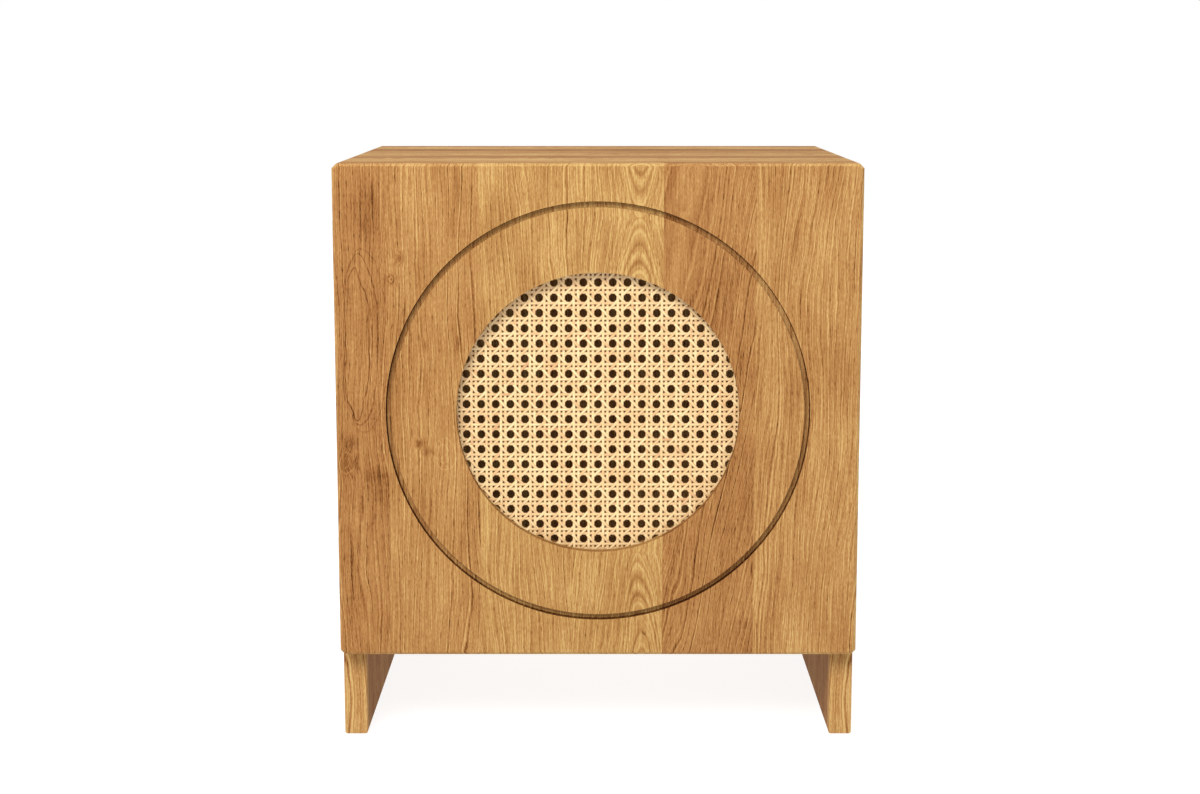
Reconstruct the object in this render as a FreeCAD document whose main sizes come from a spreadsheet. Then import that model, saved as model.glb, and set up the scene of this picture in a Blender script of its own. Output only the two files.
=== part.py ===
"""Side table with a door: an oak box on two panel legs, its door inset with woven cane.

The front faces -Y, +X is to the right and +Z is up. The origin lies on the floor, under the
middle of the table. All sizes are in millimetres.
"""

import FreeCAD
import Part

import math
import os

import Sketcher

doc = FreeCAD.newDocument("side_table")
sheet = doc.addObject("Spreadsheet::Sheet", "Dimensions")

# ---------------------------------------------------------------------------
# Sizes
# ---------------------------------------------------------------------------


class Size:
    """A length with the spreadsheet formula that gives it, so that arithmetic keeps both."""

    def __init__(self, value, formula):
        self.value = value
        self.formula = formula

    def _with(self, other, sign, swap=False):
        other = as_size(other)
        left, right = (other, self) if swap else (self, other)
        results = {
            "+": left.value + right.value,
            "-": left.value - right.value,
            "*": left.value * right.value,
        }
        return Size(results[sign], f"({left.formula} {sign} {right.formula})")

    def __add__(self, other):
        return self._with(other, "+")

    def __radd__(self, other):
        return self._with(other, "+", swap=True)

    def __sub__(self, other):
        return self._with(other, "-")

    def __rsub__(self, other):
        return self._with(other, "-", swap=True)

    def __mul__(self, other):
        return self._with(other, "*")

    def __rmul__(self, other):
        return self._with(other, "*", swap=True)

    def __truediv__(self, number):
        return Size(self.value / number, f"({self.formula} / {number})")

    def __neg__(self):
        return Size(-self.value, f"(0 - {self.formula})")


def as_size(value):
    """A Size as it is, or a plain number as one."""
    return value if isinstance(value, Size) else Size(float(value), repr(float(value)))


def cell(alias, value):
    """Writes one driving dimension into the sheet and returns it as a Size."""
    cell.row += 1
    sheet.set(f"A{cell.row}", alias)
    sheet.set(f"B{cell.row}", str(value))
    sheet.setAlias(f"B{cell.row}", alias)
    return Size(float(value), f"Dimensions.{alias}")


cell.row = 0

# The box and its legs
box_width = cell("box_width", 450)
box_height = cell("box_height", 428)
table_depth = cell("table_depth", 350)
floor_clearance = cell("floor_clearance", 80)
panel_thickness = cell("panel_thickness", 20)
edge_chamfer = cell("edge_chamfer", 4)
leg_thickness = cell("leg_thickness", 20)
leg_rounding = cell("leg_rounding", 2)

# The back
back_thickness = cell("back_thickness", 6)
back_ledge = cell("back_ledge", 10)
back_gap = cell("back_gap", 0.5)
back_screw_inset = cell("back_screw_inset", 22)
back_screw_count = cell("back_screw_count", 3)

# Joinery
biscuit_length = cell("biscuit_length", 53)
biscuit_width = cell("biscuit_width", 19)
biscuit_thickness = cell("biscuit_thickness", 4)
biscuit_gap = cell("biscuit_gap", 0.2)
biscuit_seat = cell("biscuit_seat", 9.5)
tenon_width = cell("tenon_width", 22)
tenon_thickness = cell("tenon_thickness", 8)
tenon_in_leg = cell("tenon_in_leg", 25)
tenon_in_box = cell("tenon_in_box", 20)
tenon_gap = cell("tenon_gap", 0.1)
tenon_inset = cell("tenon_inset", 44)
tenon_count = cell("tenon_count", 4)

# Felt pads under the legs
pad_length = cell("pad_length", 30)
pad_width = cell("pad_width", 14)
pad_thickness = cell("pad_thickness", 1)
pad_inset = cell("pad_inset", 26)

# The door
door_thickness = cell("door_thickness", 20)
door_gap = cell("door_gap", 2)
door_chamfer = cell("door_chamfer", 2.5)
opening_radius = cell("opening_radius", 121.6)
groove_radius = cell("groove_radius", 182.2)
groove_width = cell("groove_width", 5)
groove_depth = cell("groove_depth", 4.5)

# The cane and the ring that holds it
cane_recess = cell("cane_recess", 8.5)
cane_thickness = cell("cane_thickness", 2.4)
cane_pitch_across = cell("cane_pitch_across", 12.6)
cane_pitch_up = cell("cane_pitch_up", 13.2)
cane_hole = cell("cane_hole", 6.2)
cane_hole_sides = cell("cane_hole_sides", 4)
cane_margin = cell("cane_margin", 5)
cane_trim_cuts = cell("cane_trim_cuts", 24)
ledge_width = cell("ledge_width", 13.4)
ring_gap = cell("ring_gap", 0.4)
ring_screw_count = cell("ring_screw_count", 6)
ring_screw_inset = cell("ring_screw_inset", 4.5)
ring_screw_length = cell("ring_screw_length", 15)

# The hinges
hinge_height = cell("hinge_height", 50)
hinge_inset = cell("hinge_inset", 75)
leaf_width = cell("leaf_width", 18)
leaf_thickness = cell("leaf_thickness", 0.9)
barrel_radius = cell("barrel_radius", 2.2)
hinge_pin_radius = cell("hinge_pin_radius", 1.1)
pin_fit = cell("pin_fit", 0.05)
knuckle_height = cell("knuckle_height", 16.4)
knuckle_gap = cell("knuckle_gap", 0.2)
axis_outset = cell("axis_outset", 0.5)
barrel_clearance = cell("barrel_clearance", 0.3)
hinge_screw_spacing = cell("hinge_screw_spacing", 34)

# Small countersunk screws
screw_radius = cell("screw_radius", 1.5)
screw_head_radius = cell("screw_head_radius", 2.7)
screw_head_depth = cell("screw_head_depth", 1.2)
screw_length = cell("screw_length", 14)
screw_fit = cell("screw_fit", 0.1)
screw_sides = cell("screw_sides", 6)

# The push latch
latch_height = cell("latch_height", 18)
latch_width = cell("latch_width", 14)
latch_length = cell("latch_length", 52)
latch_flange = cell("latch_flange", 2)
latch_flange_height = cell("latch_flange_height", 42)
latch_setback = cell("latch_setback", 3)
latch_rounding = cell("latch_rounding", 1.5)
latch_screw_spacing = cell("latch_screw_spacing", 30)
plunger_radius = cell("plunger_radius", 4)
plunger_length = cell("plunger_length", 24)
plunger_fit = cell("plunger_fit", 0.2)
plunger_travel = cell("plunger_travel", 1.5)
magnet_radius = cell("magnet_radius", 3.5)
magnet_thickness = cell("magnet_thickness", 2)
strike_radius = cell("strike_radius", 7)
strike_thickness = cell("strike_thickness", 1.2)
strike_gap = cell("strike_gap", 0.1)

# Places worked out from them
half_width = box_width / 2
half_inside = half_width - panel_thickness
front_y = -(table_depth / 2)
back_y = table_depth / 2
door_back_y = front_y + door_thickness
box_front_y = door_back_y + door_gap
box_depth = back_y - box_front_y
box_bottom_z = floor_clearance
box_top_z = floor_clearance + box_height
door_centre_z = floor_clearance + box_height / 2
inside_bottom_z = box_bottom_z + panel_thickness
inside_top_z = box_top_z - panel_thickness
half_chamfer = edge_chamfer / 2
hinge_axis_x = -(half_width + axis_outset)
hinge_axis_y = door_back_y + door_gap / 2
upper_hinge_z = box_top_z - hinge_inset
lower_hinge_z = box_bottom_z + hinge_inset
cane_front_y = front_y + cane_recess
rebate_radius = opening_radius + ledge_width
ring_screw_circle = rebate_radius - ring_screw_inset
latch_x = half_inside - latch_flange - latch_width / 2
latch_front_y = box_front_y + latch_setback
strike_front_y = door_back_y + strike_thickness
magnet_front_y = strike_front_y + strike_gap

doc.recompute()

# ---------------------------------------------------------------------------
# Building blocks
# ---------------------------------------------------------------------------

PLANES = {"front": "XZ_Plane", "top": "XY_Plane", "side": "YZ_Plane"}
INTO_DOOR = FreeCAD.Rotation(FreeCAD.Vector(1, 0, 0), 90)
INTO_BOX = FreeCAD.Rotation(FreeCAD.Vector(1, 0, 0), -90)
INTO_RIGHT_SIDE = FreeCAD.Rotation(FreeCAD.Vector(0, 1, 0), 90)
UPRIGHT = FreeCAD.Rotation()


def bind(thing, name, size):
    """Ties a property to the sheet."""
    thing.setExpression(name, as_size(size).formula)


def place(thing, x, y, z, rotation=UPRIGHT):
    """Gives an object its turn, and ties its position to the sheet."""
    thing.Placement = FreeCAD.Placement(FreeCAD.Vector(), rotation)
    bind(thing, "Placement.Base.x", x)
    bind(thing, "Placement.Base.y", y)
    bind(thing, "Placement.Base.z", z)
    return thing


def new_body(label):
    body = doc.addObject("PartDesign::Body", label + "_body")
    body.Label = label + "_body"
    return body


def new_sketch(body, plane, offset=0):
    """A sketch on one of the body's own planes. Offset runs along the plane's normal."""
    sketch = body.newObject("Sketcher::SketchObject", body.Name + "_sketch")
    origin = [f for f in body.Origin.OriginFeatures if f.Role == PLANES[plane]][0]
    sketch.AttachmentSupport = [(origin, "")]
    sketch.MapMode = "FlatFace"
    bind(sketch, "AttachmentOffset.Base.z", offset)
    return sketch


def fix_point(sketch, shape, end, x, y):
    """Holds one point of a sketch at x, y."""
    for axis, size, line in (("DistanceX", x, -2), ("DistanceY", y, -1)):
        size = as_size(size)
        if size.value == 0.0 and size.formula == "0.0":
            sketch.addConstraint(Sketcher.Constraint("PointOnObject", shape, end, line))
            continue
        constraint = Sketcher.Constraint(axis, -1, 1, shape, end, size.value)
        index = sketch.addConstraint(constraint)
        sketch.setExpression(f"Constraints[{index}]", size.formula)


def draw_outline(sketch, points):
    """A closed outline of straight lines through the given points."""
    spots = [FreeCAD.Vector(as_size(x).value, as_size(y).value, 0) for x, y in points]
    first = sketch.GeometryCount
    for number, spot in enumerate(spots):
        following = spots[(number + 1) % len(spots)]
        sketch.addGeometry(Part.LineSegment(spot, following), False)
    for number, (x, y) in enumerate(points):
        line = first + number
        before = first + (number - 1) % len(points)
        sketch.addConstraint(Sketcher.Constraint("Coincident", before, 2, line, 1))
        fix_point(sketch, line, 1, x, y)


def draw_circle(sketch, x, y, radius):
    centre = FreeCAD.Vector(as_size(x).value, as_size(y).value, 0)
    circle = Part.Circle(centre, FreeCAD.Vector(0, 0, 1), as_size(radius).value)
    index = sketch.addGeometry(circle, False)
    fix_point(sketch, index, 3, x, y)
    constraint = Sketcher.Constraint("Radius", index, as_size(radius).value)
    number = sketch.addConstraint(constraint)
    sketch.setExpression(f"Constraints[{number}]", as_size(radius).formula)


def pad(body, sketch, length, against_normal=False):
    feature = body.newObject("PartDesign::Pad", body.Name + "_pad")
    feature.Profile = sketch
    feature.Reversed = against_normal
    bind(feature, "Length", length)
    doc.recompute()
    return feature


def pocket(body, sketch, length, along_normal=False):
    """Cuts a sketch into the body, and stops if the cut takes nothing away."""
    before = body.Shape.Volume
    feature = body.newObject("PartDesign::Pocket", body.Name + "_pocket")
    feature.Profile = sketch
    feature.Reversed = along_normal
    bind(feature, "Length", length)
    doc.recompute()
    if body.Shape.Volume >= before:
        raise RuntimeError(f"{feature.Name} cuts nothing")
    return feature


def dress_edges(body, kind, size_name, size, wanted):
    """Chamfers or rounds the edges of the body's last feature that the test picks."""
    base = body.Tip
    names = [f"Edge{i + 1}" for i, edge in enumerate(base.Shape.Edges) if wanted(edge)]
    feature = body.newObject("PartDesign::" + kind, body.Name + "_" + kind.lower())
    feature.Base = (base, names)
    bind(feature, size_name, size)
    doc.recompute()
    return feature


def box(name, width, depth, height, x, y, z, rotation=UPRIGHT):
    """A block, from its lowest corner."""
    block = doc.addObject("Part::Box", name)
    bind(block, "Length", width)
    bind(block, "Width", depth)
    bind(block, "Height", height)
    return place(block, x, y, z, rotation)


def rod(name, radius, length, x, y, z, rotation=UPRIGHT):
    """A cylinder that starts at x, y, z and runs along its own Z."""
    cylinder = doc.addObject("Part::Cylinder", name)
    bind(cylinder, "Radius", radius)
    bind(cylinder, "Height", length)
    return place(cylinder, x, y, z, rotation)


def prism(name, radius, length, x, y, z, rotation=UPRIGHT):
    """A rod with as many flat sides as a small screw is drawn with."""
    bar = doc.addObject("Part::Prism", name)
    bar.Polygon = whole(screw_sides)
    bind(bar, "Circumradius", radius)
    bind(bar, "Height", length)
    return place(bar, x, y, z, rotation)


def taper(name, start_radius, end_radius, length, x, y, z, rotation=UPRIGHT):
    """A flat-sided cone, as a screw's sunk head is drawn."""
    dx, dy, dz = along(rotation, length)
    ends = []
    for end, radius, spot in (
        ("start", start_radius, (x, y, z)),
        ("end", end_radius, (x + dx, y + dy, z + dz)),
    ):
        outline = doc.addObject("Part::RegularPolygon", f"{name}_{end}")
        outline.Polygon = whole(screw_sides)
        bind(outline, "Circumradius", radius)
        ends.append(place(outline, *spot, rotation))
    solid = doc.addObject("Part::Loft", name)
    solid.Sections = ends
    solid.Solid = True
    solid.Ruled = True
    solid.Linearize = True
    return solid


def fused(name, pieces):
    """One solid, or one set of solids, from several."""
    if len(pieces) == 1:
        return pieces[0]
    union = doc.addObject("Part::MultiFuse", name)
    union.Shapes = pieces
    return union


def cut(name, base, tools):
    """The base less the tools."""
    result = doc.addObject("Part::Cut", name)
    result.Base = base
    result.Tool = fused(name + "_tools", tools)
    return result


def grouped(name, pieces):
    """Separate solids that share one node."""
    group = doc.addObject("Part::Compound", name)
    group.Links = pieces
    return group


finished = []


def finish(thing, label):
    """Names a finished sub-part and puts it on the list that is written out."""
    thing.Label = label
    finished.append(thing)
    return thing


def whole(size):
    """A count from the sheet as a whole number."""
    return int(round(size.value))


def spread(first, last, count):
    """Evenly spaced places from first to last, both included."""
    step = (last - first) / (count - 1)
    return [first + step * number for number in range(count)]


def along(rotation, distance):
    """How far x, y and z move over a distance along a turned part's own Z."""
    direction = rotation.multVec(FreeCAD.Vector(0, 0, 1))
    return [distance * round(part) for part in (direction.x, direction.y, direction.z)]


def screw(name, spot, rotation, length, head_depth=screw_head_depth):
    """A countersunk screw whose head lies flush at spot and whose point runs along its own Z."""
    x, y, z = spot
    dx, dy, dz = along(rotation, head_depth)
    head = taper(name + "_head", screw_head_radius, screw_radius, head_depth, x, y, z, rotation)
    shank_length = length - head_depth
    shank = prism(name + "_shank", screw_radius, shank_length, x + dx, y + dy, z + dz, rotation)
    return fused(name, [head, shank])


def screw_bore(name, spot, rotation, length, head_depth=screw_head_depth):
    """The countersunk hole that such a screw sits in."""
    x, y, z = spot
    wide = screw_head_radius + screw_fit
    narrow = screw_radius + screw_fit
    sink = taper(name + "_sink", wide, narrow, head_depth, x, y, z, rotation)
    hole = prism(name + "_hole", narrow, length + screw_fit, x, y, z, rotation)
    return fused(name, [sink, hole])


def pilot(name, spot, rotation, length):
    """A plain hole for a screw's shank."""
    x, y, z = spot
    return prism(name, screw_radius + screw_fit, length + screw_fit, x, y, z, rotation)


# ---------------------------------------------------------------------------
# Where things repeat
# ---------------------------------------------------------------------------

tenon_places = spread(box_front_y + tenon_inset, back_y - tenon_inset, whole(tenon_count))
biscuit_places = [(a + b) / 2 for a, b in zip(tenon_places, tenon_places[1:])]
leg_middle_x = half_width - leg_thickness / 2

back_screw_heights = spread(
    inside_bottom_z + back_screw_inset,
    inside_top_z - back_screw_inset,
    whole(back_screw_count),
)
back_screw_x = half_inside + back_ledge / 2

ring_spots = []
for number in range(whole(ring_screw_count)):
    turn = 2 * math.pi * (number + 0.5) / whole(ring_screw_count)
    ring_spots.append(
        (
            ring_screw_circle * math.cos(turn),
            door_back_y,
            door_centre_z + ring_screw_circle * math.sin(turn),
        )
    )

leaf_screw_x = hinge_axis_x + (barrel_radius + leaf_width) / 2
hinge_heights = {"upper": upper_hinge_z, "lower": lower_hinge_z}
leaf_screw_heights = {
    f"{which}_{side}": height + hinge_screw_spacing / 2 * sign
    for which, height in hinge_heights.items()
    for side, sign in (("top", 1), ("bottom", -1))
}
leaf_screw_depth = screw_length

strike_spot = (latch_x, strike_front_y, door_centre_z)
latch_screw_spots = [
    (
        half_inside - latch_flange,
        latch_front_y + latch_length / 2,
        door_centre_z + latch_screw_spacing / 2 * sign,
    )
    for sign in (-1, 1)
]


# ---------------------------------------------------------------------------
# Joinery: biscuits across the mitres, loose tenons between box and legs
# ---------------------------------------------------------------------------


def biscuit(name, side, level, y, gap=0):
    """A flat tongue across one mitre. Side is 1 to the right, level 1 at the top."""
    tilt = 45.0 * side * level
    length = biscuit_length + 2 * gap
    width = biscuit_width + 2 * gap
    thickness = biscuit_thickness + 2 * gap
    inner_z = inside_top_z if level > 0 else inside_bottom_z
    slope = math.sqrt(0.5)
    centre_x = side * (half_inside + biscuit_seat * slope)
    centre_z = inner_z + level * slope * biscuit_seat
    lean = side * level * slope / 2
    x = centre_x - width * (slope / 2) - thickness * lean
    z = centre_z + width * lean - thickness * (slope / 2)
    turn = FreeCAD.Rotation(FreeCAD.Vector(0, 1, 0), tilt)
    return box(name, width, length, thickness, x, y - length / 2, z, turn)


def corner_biscuits(side, level, prefix, gap=0):
    return [
        biscuit(f"{prefix}_{number}", side, level, y, gap)
        for number, y in enumerate(biscuit_places)
    ]


def make_biscuits():
    pieces = []
    for side, level, corner in CORNERS:
        pieces += corner_biscuits(side, level, f"biscuit_{corner}")
    finish(grouped("mitre_biscuits", pieces), "mitre_biscuits")


def tenon(name, side, y, gap=0):
    """A loose tenon that stands half in a leg and half in the box."""
    thickness = tenon_thickness + 2 * gap
    width = tenon_width + 2 * gap
    height = tenon_in_leg + tenon_in_box + 2 * gap
    x = side * leg_middle_x - thickness / 2
    z = box_bottom_z - tenon_in_leg - gap
    return box(name, thickness, width, height, x, y - width / 2, z)


def tenons(side, prefix, gap=0):
    return [tenon(f"{prefix}_{number}", side, y, gap) for number, y in enumerate(tenon_places)]


def make_tenons():
    pieces = tenons(-1, "tenon_left") + tenons(1, "tenon_right")
    finish(grouped("leg_tenons", pieces), "leg_tenons")


CORNERS = (
    (-1, 1, "top_left"),
    (1, 1, "top_right"),
    (-1, -1, "bottom_left"),
    (1, -1, "bottom_right"),
)


# ---------------------------------------------------------------------------
# The box
# ---------------------------------------------------------------------------


def level_outline(level):
    """The section of the top or bottom panel: mitred ends with half of each edge chamfer."""
    outer = box_top_z if level > 0 else box_bottom_z
    inner = outer - level * panel_thickness
    shoulder = outer - level * half_chamfer
    return [
        (-(half_width - half_chamfer), shoulder),
        (-(half_width - edge_chamfer), outer),
        (half_width - edge_chamfer, outer),
        (half_width - half_chamfer, shoulder),
        (half_inside, inner),
        (-half_inside, inner),
    ]


def side_outline(side):
    """The section of a side panel, mitred at its top and bottom."""
    return [
        (side * half_width, box_bottom_z + edge_chamfer),
        (side * half_width, box_top_z - edge_chamfer),
        (side * (half_width - half_chamfer), box_top_z - half_chamfer),
        (side * half_inside, inside_top_z),
        (side * half_inside, inside_bottom_z),
        (side * (half_width - half_chamfer), box_bottom_z + half_chamfer),
    ]


def panel_body(label, outline):
    """A panel of the box, from front to back, with the rebate that the back sits in."""
    body = new_body(label)
    section = new_sketch(body, "front", -back_y)
    draw_outline(section, outline)
    pad(body, section, box_depth)
    rebate = new_sketch(body, "front", -back_y)
    reach = half_inside + back_ledge
    low = inside_bottom_z - back_ledge
    high = inside_top_z + back_ledge
    draw_outline(rebate, [(-reach, low), (reach, low), (reach, high), (-reach, high)])
    pocket(body, rebate, back_thickness, along_normal=True)
    return body


def make_top_panel():
    body = panel_body("top_panel", level_outline(1))
    slots = corner_biscuits(-1, 1, "top_slot_left", biscuit_gap)
    slots += corner_biscuits(1, 1, "top_slot_right", biscuit_gap)
    finish(cut("top_panel", body, slots), "top_panel")


def make_bottom_panel():
    body = panel_body("bottom_panel", level_outline(-1))
    slots = corner_biscuits(-1, -1, "bottom_slot_left", biscuit_gap)
    slots += corner_biscuits(1, -1, "bottom_slot_right", biscuit_gap)
    slots += tenons(-1, "bottom_mortise_left", tenon_gap)
    slots += tenons(1, "bottom_mortise_right", tenon_gap)
    finish(cut("bottom_panel", body, slots), "bottom_panel")


def back_pilots(side, prefix):
    spots = [(side * back_screw_x, back_y, z) for z in back_screw_heights]
    return [
        pilot(f"{prefix}_{number}", spot, INTO_DOOR, screw_length)
        for number, spot in enumerate(spots)
    ]


def barrel_notch(name, height):
    """The hollow in the wood round a hinge's barrel."""
    length = hinge_height + 2 * barrel_clearance
    radius = barrel_radius + barrel_clearance
    return rod(name, radius, length, hinge_axis_x, hinge_axis_y, height - length / 2)


def make_left_side():
    body = panel_body("left_side_panel", side_outline(-1))
    tools = corner_biscuits(-1, 1, "left_slot_top", biscuit_gap)
    tools += corner_biscuits(-1, -1, "left_slot_bottom", biscuit_gap)
    tools += tenons(-1, "left_mortise", tenon_gap)
    tools += back_pilots(-1, "left_back_pilot")
    for which, height in hinge_heights.items():
        tools.append(barrel_notch(f"left_{which}_notch", height))
    for which, height in leaf_screw_heights.items():
        spot = (leaf_screw_x, box_front_y, height)
        tools.append(pilot(f"left_{which}_pilot", spot, INTO_BOX, leaf_screw_depth))
    finish(cut("left_side_panel", body, tools), "left_side_panel")


def make_right_side():
    body = panel_body("right_side_panel", side_outline(1))
    tools = corner_biscuits(1, 1, "right_slot_top", biscuit_gap)
    tools += corner_biscuits(1, -1, "right_slot_bottom", biscuit_gap)
    tools += tenons(1, "right_mortise", tenon_gap)
    tools += back_pilots(1, "right_back_pilot")
    for number, spot in enumerate(latch_screw_spots):
        tools.append(pilot(f"right_latch_pilot_{number}", spot, INTO_RIGHT_SIDE, screw_length))
    finish(cut("right_side_panel", body, tools), "right_side_panel")


def make_back():
    """The back, let into its rebate and screwed to the sides."""
    body = new_body("back_panel")
    section = new_sketch(body, "front", -back_y)
    reach = half_inside + back_ledge - back_gap
    low = inside_bottom_z - back_ledge + back_gap
    high = inside_top_z + back_ledge - back_gap
    draw_outline(section, [(-reach, low), (reach, low), (reach, high), (-reach, high)])
    pad(body, section, back_thickness)
    bores = []
    screws = []
    for side, name in ((-1, "left"), (1, "right")):
        for number, z in enumerate(back_screw_heights):
            spot = (side * back_screw_x, back_y, z)
            label = f"back_{name}_{number}"
            bores.append(screw_bore(label + "_bore", spot, INTO_DOOR, screw_length))
            screws.append(screw(label + "_screw", spot, INTO_DOOR, screw_length))
    finish(cut("back_panel", body, bores), "back_panel")
    finish(grouped("back_panel_screws", screws), "back_panel_screws")


# ---------------------------------------------------------------------------
# Legs and felt pads
# ---------------------------------------------------------------------------


def make_leg(side, label):
    """A panel leg under one side of the box, flush with its outer face, front to back."""
    body = new_body(label)
    section = new_sketch(body, "front", -back_y)
    outer = side * half_width
    inner = side * (half_width - leg_thickness)
    corners = [
        (outer, pad_thickness),
        (outer, box_bottom_z),
        (inner, box_bottom_z),
        (inner, pad_thickness),
    ]
    draw_outline(section, corners)
    pad(body, section, box_depth)

    def along_the_floor(edge):
        flat = edge.BoundBox.ZMax < pad_thickness.value + 0.01
        return flat and edge.BoundBox.YLength > box_depth.value - 0.01

    dress_edges(body, "Fillet", "Radius", leg_rounding, along_the_floor)
    finish(cut(label, body, tenons(side, label + "_mortise", tenon_gap)), label)


def make_felt_pads():
    """Four thin pads under the ends of the legs, so that the wood doesn't touch the floor."""
    pads = []
    for side, name in ((-1, "left"), (1, "right")):
        x = side * leg_middle_x - pad_width / 2
        for end, y in (("front", box_front_y + pad_inset), ("back", back_y - pad_inset)):
            size = (pad_width, pad_length, pad_thickness)
            pads.append(box(f"pad_{end}_{name}", *size, x, y - pad_length / 2, 0))
    finish(grouped("felt_pads", pads), "felt_pads")


# ---------------------------------------------------------------------------
# The door
# ---------------------------------------------------------------------------


def make_door_panel():
    """The door's panel: chamfered edges, a ring groove, a round opening, a rebate behind it."""
    body = new_body("door_panel")
    face = new_sketch(body, "front", -door_back_y)
    low, high = box_bottom_z, box_top_z
    draw_outline(
        face,
        [
            (-(half_width - edge_chamfer), low),
            (half_width - edge_chamfer, low),
            (half_width, low + edge_chamfer),
            (half_width, high - edge_chamfer),
            (half_width - edge_chamfer, high),
            (-(half_width - edge_chamfer), high),
            (-half_width, high - edge_chamfer),
            (-half_width, low + edge_chamfer),
        ],
    )
    pad(body, face, door_thickness)

    def round_the_front(edge):
        return edge.BoundBox.YMax < front_y.value + 0.01

    dress_edges(body, "Chamfer", "Size", door_chamfer, round_the_front)

    opening = new_sketch(body, "front", -front_y)
    draw_circle(opening, 0, door_centre_z, opening_radius)
    pocket(body, opening, door_thickness)

    groove = new_sketch(body, "front", -front_y)
    draw_circle(groove, 0, door_centre_z, groove_radius)
    draw_circle(groove, 0, door_centre_z, groove_radius - groove_width)
    pocket(body, groove, groove_depth)

    rebate = new_sketch(body, "front", -door_back_y)
    draw_circle(rebate, 0, door_centre_z, rebate_radius)
    pocket(body, rebate, door_thickness - cane_recess, along_normal=True)

    tools = [
        pilot(f"door_ring_pilot_{number}", spot, INTO_DOOR, ring_screw_length)
        for number, spot in enumerate(ring_spots)
    ]
    for which, height in hinge_heights.items():
        tools.append(barrel_notch(f"door_{which}_notch", height))
    for which, height in leaf_screw_heights.items():
        spot = (leaf_screw_x, door_back_y, height)
        tools.append(pilot(f"door_{which}_pilot", spot, INTO_DOOR, leaf_screw_depth))
    tools.append(pilot("door_strike_pilot", strike_spot, INTO_DOOR, screw_length))
    finish(cut("door_panel", body, tools), "door_panel")


def even_outline(x, z, y, reach, sides, first_turn=0.0):
    """An even-sided outline in a plane that faces the front. Reach is from middle to corner."""
    corners = []
    for number in range(sides):
        turn = first_turn + 2 * math.pi * number / sides
        corners.append(FreeCAD.Vector(x + reach * math.cos(turn), y, z + reach * math.sin(turn)))
    return Part.makePolygon(corners + corners[:1])


def mesh_outline(x, z, y, across, sides):
    """The outline of one hole of the mesh, with a flat side below."""
    half_turn = math.pi / sides
    return even_outline(x, z, y, across / 2 / math.cos(half_turn), sides, half_turn)


def cane_columns(height):
    """Where the holes of one row lie across, so that each shows in the opening."""
    pitch = cane_pitch_across.value
    reach = opening_radius.value
    columns = []
    for step in range(-int(reach / pitch) - 1, int(reach / pitch) + 2):
        if math.hypot(step * pitch, height) < reach:
            columns.append(step * pitch)
    return columns


def make_cane():
    """The webbing as one sheet, trimmed with straight cuts, with a column of holes in its middle."""
    front = cane_front_y.value
    centre = door_centre_z.value
    reach = (opening_radius + cane_margin).value
    rim = even_outline(0, centre, front, reach, whole(cane_trim_cuts))
    sides = whole(cane_hole_sides)
    holes = []
    rows = int(opening_radius.value / cane_pitch_up.value) + 1
    for row in range(-rows, rows):
        height = (row + 0.5) * cane_pitch_up.value
        for across in cane_columns(height):
            spot = (across, centre + height, front)
            holes.append(mesh_outline(*spot, cane_hole.value, sides))
    sheet_face = Part.Face([rim] + holes, "Part::FaceMakerBullseye")
    cane = doc.addObject("Part::Feature", "cane_webbing")
    cane.Shape = sheet_face.extrude(FreeCAD.Vector(0, cane_thickness.value, 0))
    cane.Placement = FreeCAD.Placement()
    finish(cane, "cane_webbing")


def make_retaining_ring():
    """The wooden ring behind the cane, flush with the back of the door."""
    body = new_body("cane_retaining_ring")
    section = new_sketch(body, "front", -door_back_y)
    draw_circle(section, 0, door_centre_z, rebate_radius - ring_gap)
    draw_circle(section, 0, door_centre_z, opening_radius)
    pad(body, section, door_thickness - cane_recess - cane_thickness)
    bores = []
    screws = []
    for number, spot in enumerate(ring_spots):
        bores.append(screw_bore(f"ring_bore_{number}", spot, INTO_DOOR, ring_screw_length))
        screws.append(screw(f"ring_screw_{number}", spot, INTO_DOOR, ring_screw_length))
    finish(cut("cane_retaining_ring", body, bores), "cane_retaining_ring")
    finish(grouped("ring_screws", screws), "ring_screws")


# ---------------------------------------------------------------------------
# The hinges
# ---------------------------------------------------------------------------


def knuckle_spans(on_door):
    """Start and length of a leaf's knuckles, from the middle of the hinge."""
    if on_door:
        return [(-(knuckle_height / 2), knuckle_height)]
    start = knuckle_height / 2 + knuckle_gap
    length = hinge_height / 2 - start
    return [(start, length), (-(hinge_height / 2), length)]


def make_leaf(which, height, on_door):
    """A leaf with its knuckles. The box's leaf has two and holds the pin, the door's has one."""
    side = "door" if on_door else "box"
    name = f"{which}_hinge_{side}_leaf"
    plate_y = door_back_y if on_door else box_front_y - leaf_thickness
    plate_x = hinge_axis_x + barrel_radius + barrel_clearance
    plate_width = leaf_width - barrel_radius - barrel_clearance
    bottom = height - hinge_height / 2
    pieces = [
        box(name + "_plate", plate_width, leaf_thickness, hinge_height, plate_x, plate_y, bottom)
    ]
    for number, (start, length) in enumerate(knuckle_spans(on_door)):
        spot = (hinge_axis_x, hinge_axis_y, height + start)
        pieces.append(rod(f"{name}_knuckle_{number}", barrel_radius, length, *spot))
        tab = (barrel_radius + barrel_clearance, leaf_thickness, length)
        pieces.append(box(f"{name}_tab_{number}", *tab, hinge_axis_x, plate_y, height + start))
    bore = (hinge_pin_radius + pin_fit, hinge_height + 2 * pin_fit)
    tools = [rod(name + "_bore", *bore, hinge_axis_x, hinge_axis_y, bottom - pin_fit)]
    for place_name, spot, turn in leaf_screws(on_door):
        if place_name.startswith(which):
            hole = f"{name}_{place_name}_hole"
            tools.append(screw_bore(hole, spot, turn, screw_length, leaf_thickness))
    finish(cut(name, fused(name + "_blank", pieces), tools), name)


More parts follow.
